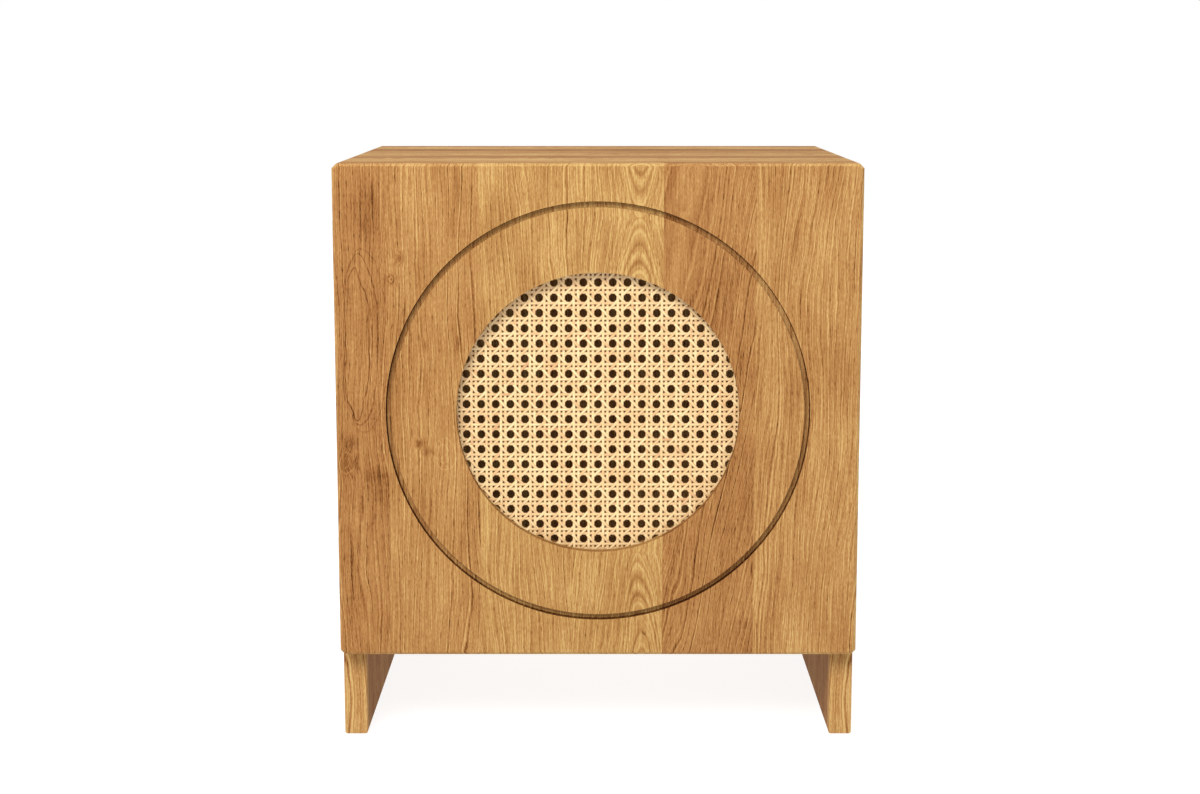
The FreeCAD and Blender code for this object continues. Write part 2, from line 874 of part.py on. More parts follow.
def leaf_screws(on_door):
    """Name, place and turn of each screw through one side's leaves."""
    turn = INTO_DOOR if on_door else INTO_BOX
    y = door_back_y + leaf_thickness if on_door else box_front_y - leaf_thickness
    return [(name, (leaf_screw_x, y, z), turn) for name, z in leaf_screw_heights.items()]


def make_hinge_screws(on_door):
    side = "door" if on_door else "box"
    screws = [
        screw(f"{side}_leaf_{name}_screw", spot, turn, screw_length, leaf_thickness)
        for name, spot, turn in leaf_screws(on_door)
    ]
    label = f"hinge_{side}_screws"
    finish(grouped(label, screws), label)


def make_hinge_pin(which, height):
    name = f"{which}_hinge_pin"
    bottom = height - hinge_height / 2
    pin = rod(name, hinge_pin_radius, hinge_height, hinge_axis_x, hinge_axis_y, bottom)
    finish(pin, name)


# ---------------------------------------------------------------------------
# The push latch
# ---------------------------------------------------------------------------


def make_latch_body():
    """The latch's housing: a rounded case on a flange, with a bore for the plunger."""
    body = new_body("push_latch_housing")
    case = new_sketch(body, "front", -latch_front_y)
    wall = half_inside
    face = wall - latch_flange
    inner = face - latch_width
    low = door_centre_z - latch_height / 2
    high = door_centre_z + latch_height / 2
    flange_low = door_centre_z - latch_flange_height / 2
    flange_high = door_centre_z + latch_flange_height / 2
    outline = [
        (wall, flange_low),
        (wall, flange_high),
        (face, flange_high),
        (face, high),
        (inner, high),
        (inner, low),
        (face, low),
        (face, flange_low),
    ]
    draw_outline(case, outline)
    pad(body, case, latch_length, against_normal=True)

    def along_the_case(edge):
        on_inner_side = edge.BoundBox.XMax < inner.value + 0.01
        return on_inner_side and edge.BoundBox.YLength > latch_length.value - 0.01

    dress_edges(body, "Fillet", "Radius", latch_rounding, along_the_case)
    bore = new_sketch(body, "front", -latch_front_y)
    draw_circle(bore, latch_x, door_centre_z, plunger_radius + plunger_fit)
    pocket(body, bore, plunger_length + plunger_travel)
    bores = [
        screw_bore(f"latch_bore_{number}", spot, INTO_RIGHT_SIDE, screw_length)
        for number, spot in enumerate(latch_screw_spots)
    ]
    screws = [
        screw(f"latch_screw_{number}", spot, INTO_RIGHT_SIDE, screw_length)
        for number, spot in enumerate(latch_screw_spots)
    ]
    finish(cut("push_latch_housing", body, bores), "push_latch_housing")
    finish(grouped("push_latch_screws", screws), "push_latch_screws")


def make_plunger():
    """The rod that the door presses, and the magnet on its nose."""
    nose_y = magnet_front_y + magnet_thickness
    middle = (latch_x, door_centre_z)
    plunger = rod(
        "push_latch_plunger", plunger_radius, plunger_length, middle[0], nose_y, middle[1], INTO_BOX
    )
    finish(plunger, "push_latch_plunger")
    magnet = rod(
        "push_latch_magnet",
        magnet_radius,
        magnet_thickness,
        middle[0],
        magnet_front_y,
        middle[1],
        INTO_BOX,
    )
    finish(magnet, "push_latch_magnet")


def make_strike():
    """The steel disc on the door that the magnet holds, and its screw."""
    x, _, z = strike_spot
    disc = rod("strike_disc", strike_radius, strike_thickness, x, door_back_y, z, INTO_BOX)
    bore = screw_bore("strike_bore", strike_spot, INTO_DOOR, screw_length)
    finish(cut("latch_strike_plate", disc, [bore]), "latch_strike_plate")
    finish(screw("strike_plate_screw", strike_spot, INTO_DOOR, screw_length), "strike_plate_screw")


# ---------------------------------------------------------------------------
# The whole table
# ---------------------------------------------------------------------------

make_top_panel()
make_bottom_panel()
make_left_side()
make_right_side()
make_back()
make_biscuits()
make_leg(-1, "left_leg")
make_leg(1, "right_leg")
make_tenons()
make_felt_pads()
make_door_panel()
make_cane()
make_retaining_ring()
for hinge, hinge_z in hinge_heights.items():
    make_leaf(hinge, hinge_z, on_door=False)
    make_leaf(hinge, hinge_z, on_door=True)
    make_hinge_pin(hinge, hinge_z)
make_hinge_screws(on_door=False)
make_hinge_screws(on_door=True)
make_latch_body()
make_plunger()
make_strike()

doc.recompute()

for thing in doc.Objects:
    if "Invalid" in thing.State or "Error" in thing.State:
        raise RuntimeError(f"{thing.Name} could not be made: {thing.State}")

for thing in finished:
    if thing.Shape.isNull() or not thing.Shape.isValid():
        raise RuntimeError(f"{thing.Label} is not a valid shape")

os.makedirs("parts", exist_ok=True)
for thing in finished:
    thing.Shape.exportStep(f"parts/{thing.Label}.step")
    print(thing.Label, len(thing.Shape.Solids), "solids", round(thing.Shape.Volume / 1000, 1), "cm3")
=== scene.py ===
# %% [markdown]
# # An oak side table with a cane door
#
# The table is a box of solid oak on two panel legs. Its door has a ring cut into its face and a
# round window of woven cane. The solids come from CAD, so nothing here moves or resizes them.
# This lesson dresses them: it lights the table, mixes an oak finish from its grain upwards,
# weaves the cane strand by strand and gives the screws their drive recesses.

import math

import bmesh
import bpy
from mathutils import Matrix, Vector


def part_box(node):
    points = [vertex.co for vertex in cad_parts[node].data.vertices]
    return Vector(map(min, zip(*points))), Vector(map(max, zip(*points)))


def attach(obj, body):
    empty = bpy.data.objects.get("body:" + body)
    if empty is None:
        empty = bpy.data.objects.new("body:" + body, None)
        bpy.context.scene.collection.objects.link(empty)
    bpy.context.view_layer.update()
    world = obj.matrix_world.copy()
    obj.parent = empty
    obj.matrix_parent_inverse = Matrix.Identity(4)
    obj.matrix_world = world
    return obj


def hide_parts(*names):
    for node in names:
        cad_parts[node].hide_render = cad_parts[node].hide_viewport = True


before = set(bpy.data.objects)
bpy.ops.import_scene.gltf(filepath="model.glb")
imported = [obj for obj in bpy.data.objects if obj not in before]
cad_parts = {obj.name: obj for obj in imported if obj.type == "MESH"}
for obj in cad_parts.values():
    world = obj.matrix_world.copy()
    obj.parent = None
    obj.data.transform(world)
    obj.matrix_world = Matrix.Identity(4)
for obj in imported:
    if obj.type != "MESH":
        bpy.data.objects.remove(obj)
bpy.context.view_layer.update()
MM = 0.001

# %% [markdown]
# ## Camera
#
# A table like this is best seen from a little above its top, with a normal lens. Tilting the
# camera down makes upright edges lean together. Sliding the lens, which Blender calls shift,
# keeps them parallel but pushes the table out of the middle of every other view. So most of the
# angle comes from the tilt and a small part from the shift.

# %% Camera
EYE = Vector((1.7, -1812, 592)) * MM
TILT = math.radians(8.05)
LENS = 58.14
SENSOR_WIDTH = 36
LENS_SHIFT = -0.05

camera_data = bpy.data.cameras.new("camera")
camera_data.lens = LENS
camera_data.sensor_width = SENSOR_WIDTH
camera_data.shift_y = LENS_SHIFT
camera = bpy.data.objects.new("camera", camera_data)
camera.location = EYE
camera.rotation_euler = (math.radians(90) - TILT, 0, 0)
bpy.context.collection.objects.link(camera)
bpy.context.scene.camera = camera
print("the camera stands", round(-EYE.y, 2), "m in front of the table's middle")

# %% [markdown]
# ## Colours and nodes
#
# Colours are written as the sRGB hex values that a paint chart gives, and shaders work on linear
# light, so one function turns the first into the second. Every material below is a small tree of
# nodes. One function adds a node: it takes the node's own settings by name, and its inputs as
# numbers, colours or other nodes' outputs. A number becomes a colour on a ramp, which is a row
# of stops with a colour each.

# %% Colours and nodes


def linear(hex_colour):
    """An sRGB hex colour as linear red, green, blue and alpha."""
    values = []
    for start in (1, 3, 5):
        part = int(hex_colour[start : start + 2], 16) / 255
        # The sRGB curve is a straight line near black and a power above it.
        values.append(part / 12.92 if part <= 0.04045 else ((part + 0.055) / 1.055) ** 2.4)
    return (*values, 1.0)


def add_node(tree, kind, inputs=(), **settings):
    """Adds a node and returns its first output. Inputs run in order, or by name in a dict."""
    node = tree.nodes.new("ShaderNode" + kind)
    for name, value in settings.items():
        setattr(node, name, value)
    pairs = inputs.items() if isinstance(inputs, dict) else enumerate(inputs)
    for name, value in pairs:
        if isinstance(value, bpy.types.NodeSocket):
            tree.links.new(value, node.inputs[name])
        else:
            node.inputs[name].default_value = value
    return node.outputs[0] if node.outputs else None


def coloured(tree, number, shades):
    """A number turned into colour by a ramp, from stops of (place, hex colour)."""
    ramp = add_node(tree, "ValToRGB", [number]).node
    stops = ramp.color_ramp.elements
    stops.remove(stops[1])
    for order, (place, colour) in enumerate(shades):
        stop = stops.new(place) if order else stops[0]
        stop.position = place
        stop.color = linear(colour)
    return ramp.outputs[0]


def new_material(name):
    """A material with an empty tree, and the tree."""
    material = bpy.data.materials.new(name)
    material.use_nodes = True
    material.node_tree.nodes.clear()
    return material, material.node_tree


def give_surface(tree, inputs):
    """Ends a tree with the shader that light meets."""
    shader = add_node(tree, "BsdfPrincipled", inputs)
    add_node(tree, "OutputMaterial", [shader])


# %% [markdown]
# ## Floor and sky
#
# The table stands on a white acrylic sweep, as for a catalogue, under a white sky that reaches
# every side alike. The sweep is matt and glows a little by itself, as lit acrylic does, so that
# it stays pale under the table too.

# %% Floor and sky
FLOOR_SIZE = 12
SWEEP_GLOW = 0.88
SKY_STRENGTH = 1.0

floor_mesh = bpy.data.meshes.new("floor")
floor_builder = bmesh.new()
bmesh.ops.create_grid(floor_builder, x_segments=1, y_segments=1, size=FLOOR_SIZE / 2)
floor_builder.to_mesh(floor_mesh)
floor_builder.free()
floor = bpy.data.objects.new("floor", floor_mesh)
bpy.context.collection.objects.link(floor)

sweep, tree = new_material("white_acrylic_sweep")
give_surface(
    tree,
    {
        "Base Color": linear("#868686"),
        "Roughness": 0.9,
        "Specular IOR Level": 0.0,
        "Emission Color": linear("#ffffff"),
        "Emission Strength": SWEEP_GLOW,
    },
)
floor.data.materials.append(sweep)

world = bpy.data.worlds.new("white_sky")
world.use_nodes = True
sky = world.node_tree.nodes["Background"]
sky.inputs["Color"].default_value = linear("#ffffff")
sky.inputs["Strength"].default_value = SKY_STRENGTH
bpy.context.scene.world = world
bpy.context.scene.view_settings.view_transform = "Standard"
print("the floor is", FLOOR_SIZE, "m wide")

# %% [markdown]
# ## Lamps
#
# One large soft lamp in front, high and a little to the left, gives the wood its shape. A weak
# one sits inside the cabinet, just behind the cane, and faces the back panel. It lights the wood
# that shows through the holes of the cane. Places and sizes of lamps are in metres.

# %% Lamps
TABLE_MIDDLE = Vector((0, 0, 0.27))
TO_THE_BACK = (math.radians(90), 0, 0)


def soft_lamp(name, spot, width, height, watts):
    """A large rectangular lamp that faces the middle of the table."""
    data = bpy.data.lights.new(name, "AREA")
    data.shape = "RECTANGLE"
    data.size = width
    data.size_y = height
    data.energy = watts
    lamp = bpy.data.objects.new(name, data)
    lamp.location = spot
    lamp.rotation_euler = (TABLE_MIDDLE - Vector(spot)).to_track_quat("-Z", "Y").to_euler()
    bpy.context.collection.objects.link(lamp)
    return lamp


soft_lamp("key_lamp", spot=(-0.9, -2.4, 2.3), width=1.6, height=1.2, watts=104)
cabinet_lamp = soft_lamp(
    "cabinet_lamp", spot=(0.03, -0.15, 0.27), width=0.2, height=0.2, watts=0.11
)
cabinet_lamp.rotation_euler = TO_THE_BACK
print("lamps:", len(bpy.data.lights))

# %% [markdown]
# ## Oak, from the inside out
#
# A board shows what the saw met in the tree. Growth rings are nested cones round the pith, so a
# flat cut through them gives arches and a cut beside them gives straight lines. Oak is ring
# porous: each ring starts with a row of wide pores, which read as short dark dashes along the
# grain. The finish below works in the board's own directions, in millimetres: across the grain,
# along it and through the board. Because the pattern fills space, it runs on over chamfers and
# into grooves, and end grain shows by itself.
#
# A painted picture of wood would be quicker, but it would stretch at every edge.

# %% Oak: the directions of a board


def board_directions(tree, axes, face):
    """The place in the wood in millimetres: across, along, and how far it lies above its face."""
    across, along, through = axes
    place = add_node(tree, "TexCoord").node.outputs["Object"]
    scaled = add_node(tree, "VectorMath", {0: place, "Scale": 1 / MM}, operation="SCALE")
    parts = add_node(tree, "SeparateXYZ", [scaled]).node.outputs
    outward = add_node(tree, "Math", [parts[through]], operation="ABSOLUTE")
    above = add_node(tree, "Math", [outward, face], operation="SUBTRACT")
    return parts[across], parts[along], above


# %% [markdown]
# The panels are glued up from boards side by side. A colour ramp with hard steps serves as a
# card index here: it takes the board's number and gives three values at once, each from 0 to 1.
# The first card holds the board's darkness, its lean (how far the grain drifts sideways as it
# runs along) and how warm it is. The second card holds to which side the pith lies, how deep,
# and how fast the cut climbs through the rings.

# %% Oak: the boards of a panel


def look_up(tree, number, rows):
    """Three values of a board by its number, from a ramp used as a card index."""
    count = len(rows)
    middle = add_node(tree, "Math", [number, 0.5], operation="ADD")
    middle = add_node(tree, "Math", [middle, count], operation="DIVIDE")
    card = add_node(tree, "ValToRGB", [middle]).node
    card.color_ramp.interpolation = "CONSTANT"
    stops = card.color_ramp.elements
    stops.remove(stops[1])
    for row, values in enumerate(rows):
        stop = stops.new(row / count) if row else stops[0]
        stop.position = row / count
        stop.color = (*values, 1.0)
    return list(add_node(tree, "SeparateColor", [card.outputs[0]]).node.outputs)


def board_at(tree, across, first_joint, board_width, count):
    """The number of the board at a place, and how far the place lies from its middle."""
    from_joint = add_node(tree, "Math", [across, first_joint], operation="SUBTRACT")
    number = add_node(tree, "Math", [from_joint, board_width], operation="DIVIDE")
    number = add_node(tree, "Math", [number], operation="FLOOR")
    number = add_node(tree, "Math", [number, count - 1], operation="MINIMUM")
    middle = add_node(tree, "Math", [number, 0.5], operation="ADD")
    middle = add_node(tree, "Math", [middle, board_width], operation="MULTIPLY")
    return number, add_node(tree, "Math", [from_joint, middle], operation="SUBTRACT")


# %% [markdown]
# Noise gives the wood its chance. It is drawn out along the grain, because everything in wood
# is longer than it is wide. Real pores are about 0.3 mm wide, too fine to show from here, so
# they are drawn 0.9 mm wide, and the flecks and fibres between them as coarse as they need to
# show. The larger layers are what the eye reads as waves, ripples, patches and clouds.

# %% Oak: noise along the grain
# Each layer has a width and a length in millimetres, a detail and a roughness.
WAVES = (60, 210, 1.0, 0.5)
RIPPLES = (14, 40, 2.0, 0.5)
PATCHES = (9, 60, 1.0, 0.5)
PORES = (0.9, 9, 2.0, 0.6)
FIBRES = (1.2, 46, 3.0, 0.6)
FLECKS = (0.9, 3.5, 1.0, 0.5)
CLOUDS = (26, 150, 2.0, 0.5)
BLOTCHES = (34, 60, 3.0, 0.55)


def noise_at(tree, point, layer):
    """Noise drawn out along the grain, from 0 to 1."""
    width, length, detail, roughness = layer
    spacing = (1 / width, 1 / length, 1 / width)
    scaled = add_node(tree, "VectorMath", [point, spacing], operation="MULTIPLY")
    inputs = {"Vector": scaled, "Scale": 1.0, "Detail": detail, "Roughness": roughness}
    return add_node(tree, "TexNoise", inputs)


def swing_at(tree, point, layer):
    """The same noise, swinging to both sides of nothing."""
    return add_node(tree, "Math", [noise_at(tree, point, layer), 0.5], operation="SUBTRACT")


def weighted_sum(tree, start, terms):
    """A start value with each term added at its weight."""
    total = start
    for value, weight in terms:
        total = add_node(tree, "Math", [value, weight, total], operation="MULTIPLY_ADD")
    return total


# %% [markdown]
# The rings follow from one number, the distance from the pith. Slow waves push the grain
# sideways and the board's lean tilts it. The cut climbs through the rings for a stretch of the
# board and then sinks again, which closes the arches of a flat cut into long ovals.

# %% Oak: the distance from the pith
WAVE_PUSH = 36
RIPPLE_PUSH = 4
PITH_ASIDE = 160
PITH_NEAR = 8
PITH_FAR = 88
STEEPEST_CLIMB = 0.3
CLIMB_START = 462
CLIMB_SPAN = 145


def bend_grain(tree, from_middle, along, wave, ripple, lean):
    """How far a place lies from its board's middle, counted along the bent grain."""
    slope = add_node(tree, "Math", [lean, 0.5], operation="SUBTRACT")
    drift = add_node(tree, "Math", [slope, along], operation="MULTIPLY")
    pushes = [(wave, WAVE_PUSH), (ripple, RIPPLE_PUSH), (drift, -1.0)]
    return weighted_sum(tree, from_middle, pushes)


def distance_from_pith(tree, bent, along, above, side, depth, climb):
    """Distance from the pith in millimetres, by the three values of the board's second card."""
    pith_side = add_node(tree, "MapRange", [side, 0.0, 1.0, -PITH_ASIDE, PITH_ASIDE])
    beside = add_node(tree, "Math", [bent, pith_side], operation="SUBTRACT")
    pith_depth = add_node(tree, "MapRange", [depth, 0.0, 1.0, PITH_NEAR, PITH_FAR])
    rate = add_node(tree, "MapRange", [climb, 0.0, 1.0, -STEEPEST_CLIMB, STEEPEST_CLIMB])
    stretch = add_node(tree, "Math", [along, CLIMB_START], operation="SUBTRACT")
    stretch = add_node(tree, "Math", [stretch, CLIMB_SPAN], operation="PINGPONG")
    deep = add_node(tree, "Math", [stretch, rate, pith_depth], operation="MULTIPLY_ADD")
    deep = add_node(tree, "Math", [deep, above], operation="SUBTRACT")
    offset = add_node(tree, "CombineXYZ", [beside, deep, 0.0])
    return add_node(tree, "VectorMath", [offset], operation="LENGTH").node.outputs["Value"]


# %% [markdown]
# A knot is where a branch crossed the board. The rings flow round it, and the wood is dark. Both
# come from one soft spot: it is added to the distance from the pith, which closes the ring lines
# round it, and to the darkness. A mineral streak is the same spot drawn long and thin, with no
# swirl. Where the rings themselves show as a few clear lines round a knot, each is the outline of
# an oval, and a light one has a darkness below nothing.

# %% Oak: knots and streaks
EASED = {"interpolation_type": "SMOOTHSTEP"}
MARK_WOBBLE = 11
ANY_DEPTH = 1e6


def in_radii(tree, point, centre, radii):
    """A place measured from an oval's centre in the oval's radii, and its distance there."""
    offset = add_node(tree, "VectorMath", [point, (*centre, 0)], operation="SUBTRACT")
    scaled = add_node(tree, "VectorMath", [offset, (*radii, ANY_DEPTH)], operation="DIVIDE")
    length = add_node(tree, "VectorMath", [scaled], operation="LENGTH")
    return scaled, length.node.outputs["Value"]


def band(tree, value, centre, width, ease):
    """One where a value lies in a band, easing to nothing on both sides of it."""
    aside = add_node(tree, "Math", [value, centre], operation="SUBTRACT")
    aside = add_node(tree, "Math", [aside], operation="ABSOLUTE")
    return add_node(tree, "MapRange", [aside, width / 2, width / 2 + ease, 1.0, 0.0], **EASED)


def soft_spot(tree, point, centre, radii):
    """One at the centre of an oval, easing to nothing at its edge."""
    _, distance = in_radii(tree, point, centre, radii)
    return add_node(tree, "MapRange", [distance, 0.0, 1.0, 1.0, 0.0], **EASED)


def oval_line(tree, point, centre, radii, width):
    """One on the outline of an oval, easing to nothing a width away from it."""
    scaled, distance = in_radii(tree, point, centre, radii)
    # Radii differ, so the way to the outline is turned back into millimetres by the steepness.
    steep = add_node(tree, "VectorMath", [scaled, (*radii, ANY_DEPTH)], operation="DIVIDE")
    steep = add_node(tree, "VectorMath", [steep], operation="LENGTH").node.outputs["Value"]
    outside = add_node(tree, "Math", [distance, 1.0], operation="SUBTRACT")
    outside = add_node(tree, "Math", [outside, distance], operation="MULTIPLY")
    outside = add_node(tree, "Math", [outside, steep], operation="DIVIDE")
    return band(tree, outside, 0.0, 0.0, width)


def add_knots(tree, across, along, ripple, radius, marks, ovals):
    """The distance from the pith with the knots in it, and how dark they make the wood."""
    wobbly = add_node(tree, "Math", [ripple, MARK_WOBBLE, across], operation="MULTIPLY_ADD")
    point = add_node(tree, "CombineXYZ", [wobbly, along, 0.0])
    stain = 0.0
    for centre, radii, swirl, dark in marks:
        spot = soft_spot(tree, point, centre, radii)
        if swirl:
            radius = add_node(tree, "Math", [spot, swirl, radius], operation="MULTIPLY_ADD")
        stain = add_node(tree, "Math", [spot, dark, stain], operation="MULTIPLY_ADD")
    for centre, radii, width, dark in ovals:
        line = oval_line(tree, point, centre, radii, width)
        stain = add_node(tree, "Math", [line, dark, stain], operation="MULTIPLY_ADD")
    return radius, stain


# %% [markdown]
# Each ring starts with the dark porous line of spring, the early wood, and ends in plain dense
# late wood. No two rings are alike, and a line fades in some places. Noise that runs over the
# distance from the pith gives each ring its strength and draws the fine lines between them.

# %% Oak: the rings
RING_WIDTH = 5.2
EARLY_WOOD = 0.32
LATE_PORES = 0.35
RING_CHANGE = 0.8
FINE_CHANGE = 0.9
LINE_DETAIL = 2.0
# Noise below the first number counts as the third, and above the second as the fourth.
RING_STRENGTH = (0.40, 0.68, 0.10, 1.0)
PATCH_STRENGTH = (0.35, 0.60, 0.25, 1.0)
PORE_STRENGTH = (0.50, 0.66, 0.0, 1.0)


def ring_lines(tree, point, radius):
    """Where a place lies in early wood, its ring's dark line, and the fine lines."""
    rings = add_node(tree, "Math", [radius, RING_WIDTH], operation="DIVIDE")
    phase = add_node(tree, "Math", [rings], operation="FRACT")
    early = add_node(tree, "MapRange", [phase, 0.0, EARLY_WOOD, 1.0, 0.0], **EASED)
    inputs = {"W": rings, "Scale": RING_CHANGE, "Detail": LINE_DETAIL}
    strength = add_node(tree, "TexNoise", inputs, noise_dimensions="1D")
    strength = add_node(tree, "MapRange", [strength, *RING_STRENGTH], **EASED)
    patchy = noise_at(tree, point, PATCHES)
    patchy = add_node(tree, "MapRange", [patchy, *PATCH_STRENGTH], **EASED)
    lines = add_node(tree, "Math", [early, strength], operation="MULTIPLY")
    lines = add_node(tree, "Math", [lines, patchy], operation="MULTIPLY")
    inputs = {"W": radius, "Scale": FINE_CHANGE, "Detail": LINE_DETAIL}
    fine = add_node(tree, "TexNoise", inputs, noise_dimensions="1D")
    return early, lines, add_node(tree, "Math", [fine, 0.5], operation="SUBTRACT")


def pores_at(tree, point, early):
    """The pores, which are many in early wood and few in late wood."""
    pores = noise_at(tree, point, PORES)
    pores = add_node(tree, "MapRange", [pores, *PORE_STRENGTH], **EASED)
    share = [early, 1 - LATE_PORES, LATE_PORES]
    share = add_node(tree, "Math", share, operation="MULTIPLY_ADD")
    return add_node(tree, "Math", [pores, share], operation="MULTIPLY")


# %% [markdown]
# Shade and highlight are painted into the door where it is cut: painted shade in the ring groove,
# a painted shadow along the groove's outer corner and at the edge of the window, and a painted
# highlight on the chamfer of the door's edges. Each is a ring on the face between two levels, so
# that it ends with the cut and does not come out on the other side of the board.

# %% Oak: painted shade and highlight in the cuts
CUT_EASE = 0.4
LEVEL_EASE = 0.3


def paint_cut_light_and_shade(tree, across, along, above, darkness, centre, cut_light_and_shade):
    """The darkness with painted shade and highlight in the cuts. Each ring is (radius, width,
    lowest, highest, dark).
    """
    place = add_node(tree, "CombineXYZ", [across, along, 0.0])
    offset = add_node(tree, "VectorMath", [place, (*centre, 0)], operation="SUBTRACT")
    reach = add_node(tree, "VectorMath", [offset], operation="LENGTH").node.outputs["Value"]
    for radius, width, lowest, highest, dark in cut_light_and_shade:
        inside = band(tree, reach, radius, width, CUT_EASE)
        level = (lowest + highest) / 2
        sunk = band(tree, above, level, highest - lowest, LEVEL_EASE)
        # A ring with dark above nothing paints shade, and one with dark below nothing paints a
        # highlight.
        painted_light_mask = add_node(tree, "Math", [inside, sunk], operation="MULTIPLY")
        darkness = add_node(tree, "Math", [painted_light_mask, dark, darkness], operation="MULTIPLY_ADD")
    return darkness


# %% [markdown]
# ### The oak finish
#
# Oiled oak is honey coloured, with a soft gloss. Every feature of the grain adds to one number,
# the darkness, and a ramp from pale straw to dark brown turns it into colour. That keeps the
# hues together as they are in real wood, where darker also means redder. Oil that has soaked in
# leaves no film, so little light is mirrored. The late wood is the smoothest, and the pores are
# small pits.

# %% Oak: the finish
OAK_SHADES = (
    (0.00, "#b2915c"),
    (0.30, "#997041"),
    (0.52, "#8a5f35"),
    (0.75, "#70461f"),
    (1.00, "#3a1e0a"),
)
COOL_HUE = 0.485
WARM_HUE = 0.515
# How much darker each feature makes the wood.
LINE_DARK = 0.34
FINE_DARK = 0.88
PORE_DARK = 0.34
FIBRE_DARK = 0.84
FLECK_DARK = 0.50
CLOUD_DARK = 0.45
BLOTCH_DARK = 0.40
STAIN_STREAKS = 1.1
OILED_ROUGHNESS = 0.68
PORE_ROUGHNESS = 0.15
LINE_ROUGHNESS = 0.05
PIT_DEPTH = 0.25 * MM
PIT_STRENGTH = 0.35
LINE_PIT = 0.3
FIBRE_RIDGE = 0.3
# Boards of one panel come from different places in the tree, this many millimetres apart.
BOARD_SHIFT = 311


def oiled_oak(
    name, axes, face, first_joint, board_width, boards, marks=(), ovals=(), centre=(0, 0), cut_light_and_shade=()
):
    """Oak boards side by side. Axes name what runs across, along and through the wood.

    A board is two cards: (darkness, lean, warmth) and its pith's (side, depth, climb).
    A mark is (place, radii, swirl, dark) and an oval is (place, radii, line width, dark).
    """
    material, tree = new_material(name)
    across, along, above = board_directions(tree, axes, face)
    first_cards, second_cards = zip(*boards)
    number, from_middle = board_at(tree, across, first_joint, board_width, len(boards))
    tone, lean, warmth = look_up(tree, number, first_cards)
    side, depth, climb = look_up(tree, number, second_cards)
    shifted = add_node(tree, "Math", [number, BOARD_SHIFT, along], operation="MULTIPLY_ADD")
    point = add_node(tree, "CombineXYZ", [across, shifted, above])

    wave = swing_at(tree, point, WAVES)
    ripple = swing_at(tree, point, RIPPLES)
    bent = bend_grain(tree, from_middle, along, wave, ripple, lean)
    radius = distance_from_pith(tree, bent, along, above, side, depth, climb)
    radius, stain = add_knots(tree, across, along, ripple, radius, marks, ovals)
    early, lines, fine = ring_lines(tree, point, radius)
    pores = pores_at(tree, point, early)
    fibres = swing_at(tree, point, FIBRES)
    streaky = add_node(tree, "Math", [fibres, STAIN_STREAKS, 1.0], operation="MULTIPLY_ADD")
    stain = add_node(tree, "Math", [stain, streaky], operation="MULTIPLY")

    darkness = weighted_sum(
        tree,
        0.0,
        [
            (tone, 1.0),
            (lines, LINE_DARK),
            (fine, FINE_DARK),
            (pores, PORE_DARK),
            (fibres, FIBRE_DARK),
            (swing_at(tree, point, FLECKS), FLECK_DARK),
            (swing_at(tree, point, CLOUDS), CLOUD_DARK),
            (swing_at(tree, point, BLOTCHES), BLOTCH_DARK),
            (stain, 1.0),
        ],
    )
    # Shade and highlight painted into the cuts of the door.
    if cut_light_and_shade:
        darkness = paint_cut_light_and_shade(tree, across, along, above, darkness, centre, cut_light_and_shade)
    hue = add_node(tree, "MapRange", [warmth, 0.0, 1.0, COOL_HUE, WARM_HUE])
    inputs = {"Color": coloured(tree, darkness, OAK_SHADES), "Hue": hue}
    colour = add_node(tree, "HueSaturation", inputs)

    roughness = [(pores, PORE_ROUGHNESS), (lines, LINE_ROUGHNESS)]
    roughness = weighted_sum(tree, OILED_ROUGHNESS, roughness)
    height = [(pores, -1.0), (lines, -LINE_PIT), (fibres, FIBRE_RIDGE)]
    height = weighted_sum(tree, 0.0, height)
    inputs = {"Strength": PIT_STRENGTH, "Distance": PIT_DEPTH, "Height": height}
    relief = add_node(tree, "Bump", inputs)
    give_surface(
        tree,
        {
            "Base Color": colour,
            "Roughness": roughness,
            "IOR": 1.48,
            "Specular IOR Level": 0.05,
            "Normal": relief,
        },
    )
    return material


def paint(node, material):
    """Puts a material into every slot of a CAD node."""
    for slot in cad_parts[node].material_slots:
        slot.material = material


# %% [markdown]
# ### The door's boards
#
# The door is glued from six boards, 78.6 mm wide where they are whole. The one right of the
# middle is dark with leaning grain. The middle one is cut close to the pith and shows arches.
# The left ones have small knots and reddish mineral streaks. Places are in millimetres across
# the door and above the floor, and levels are above the door's face.

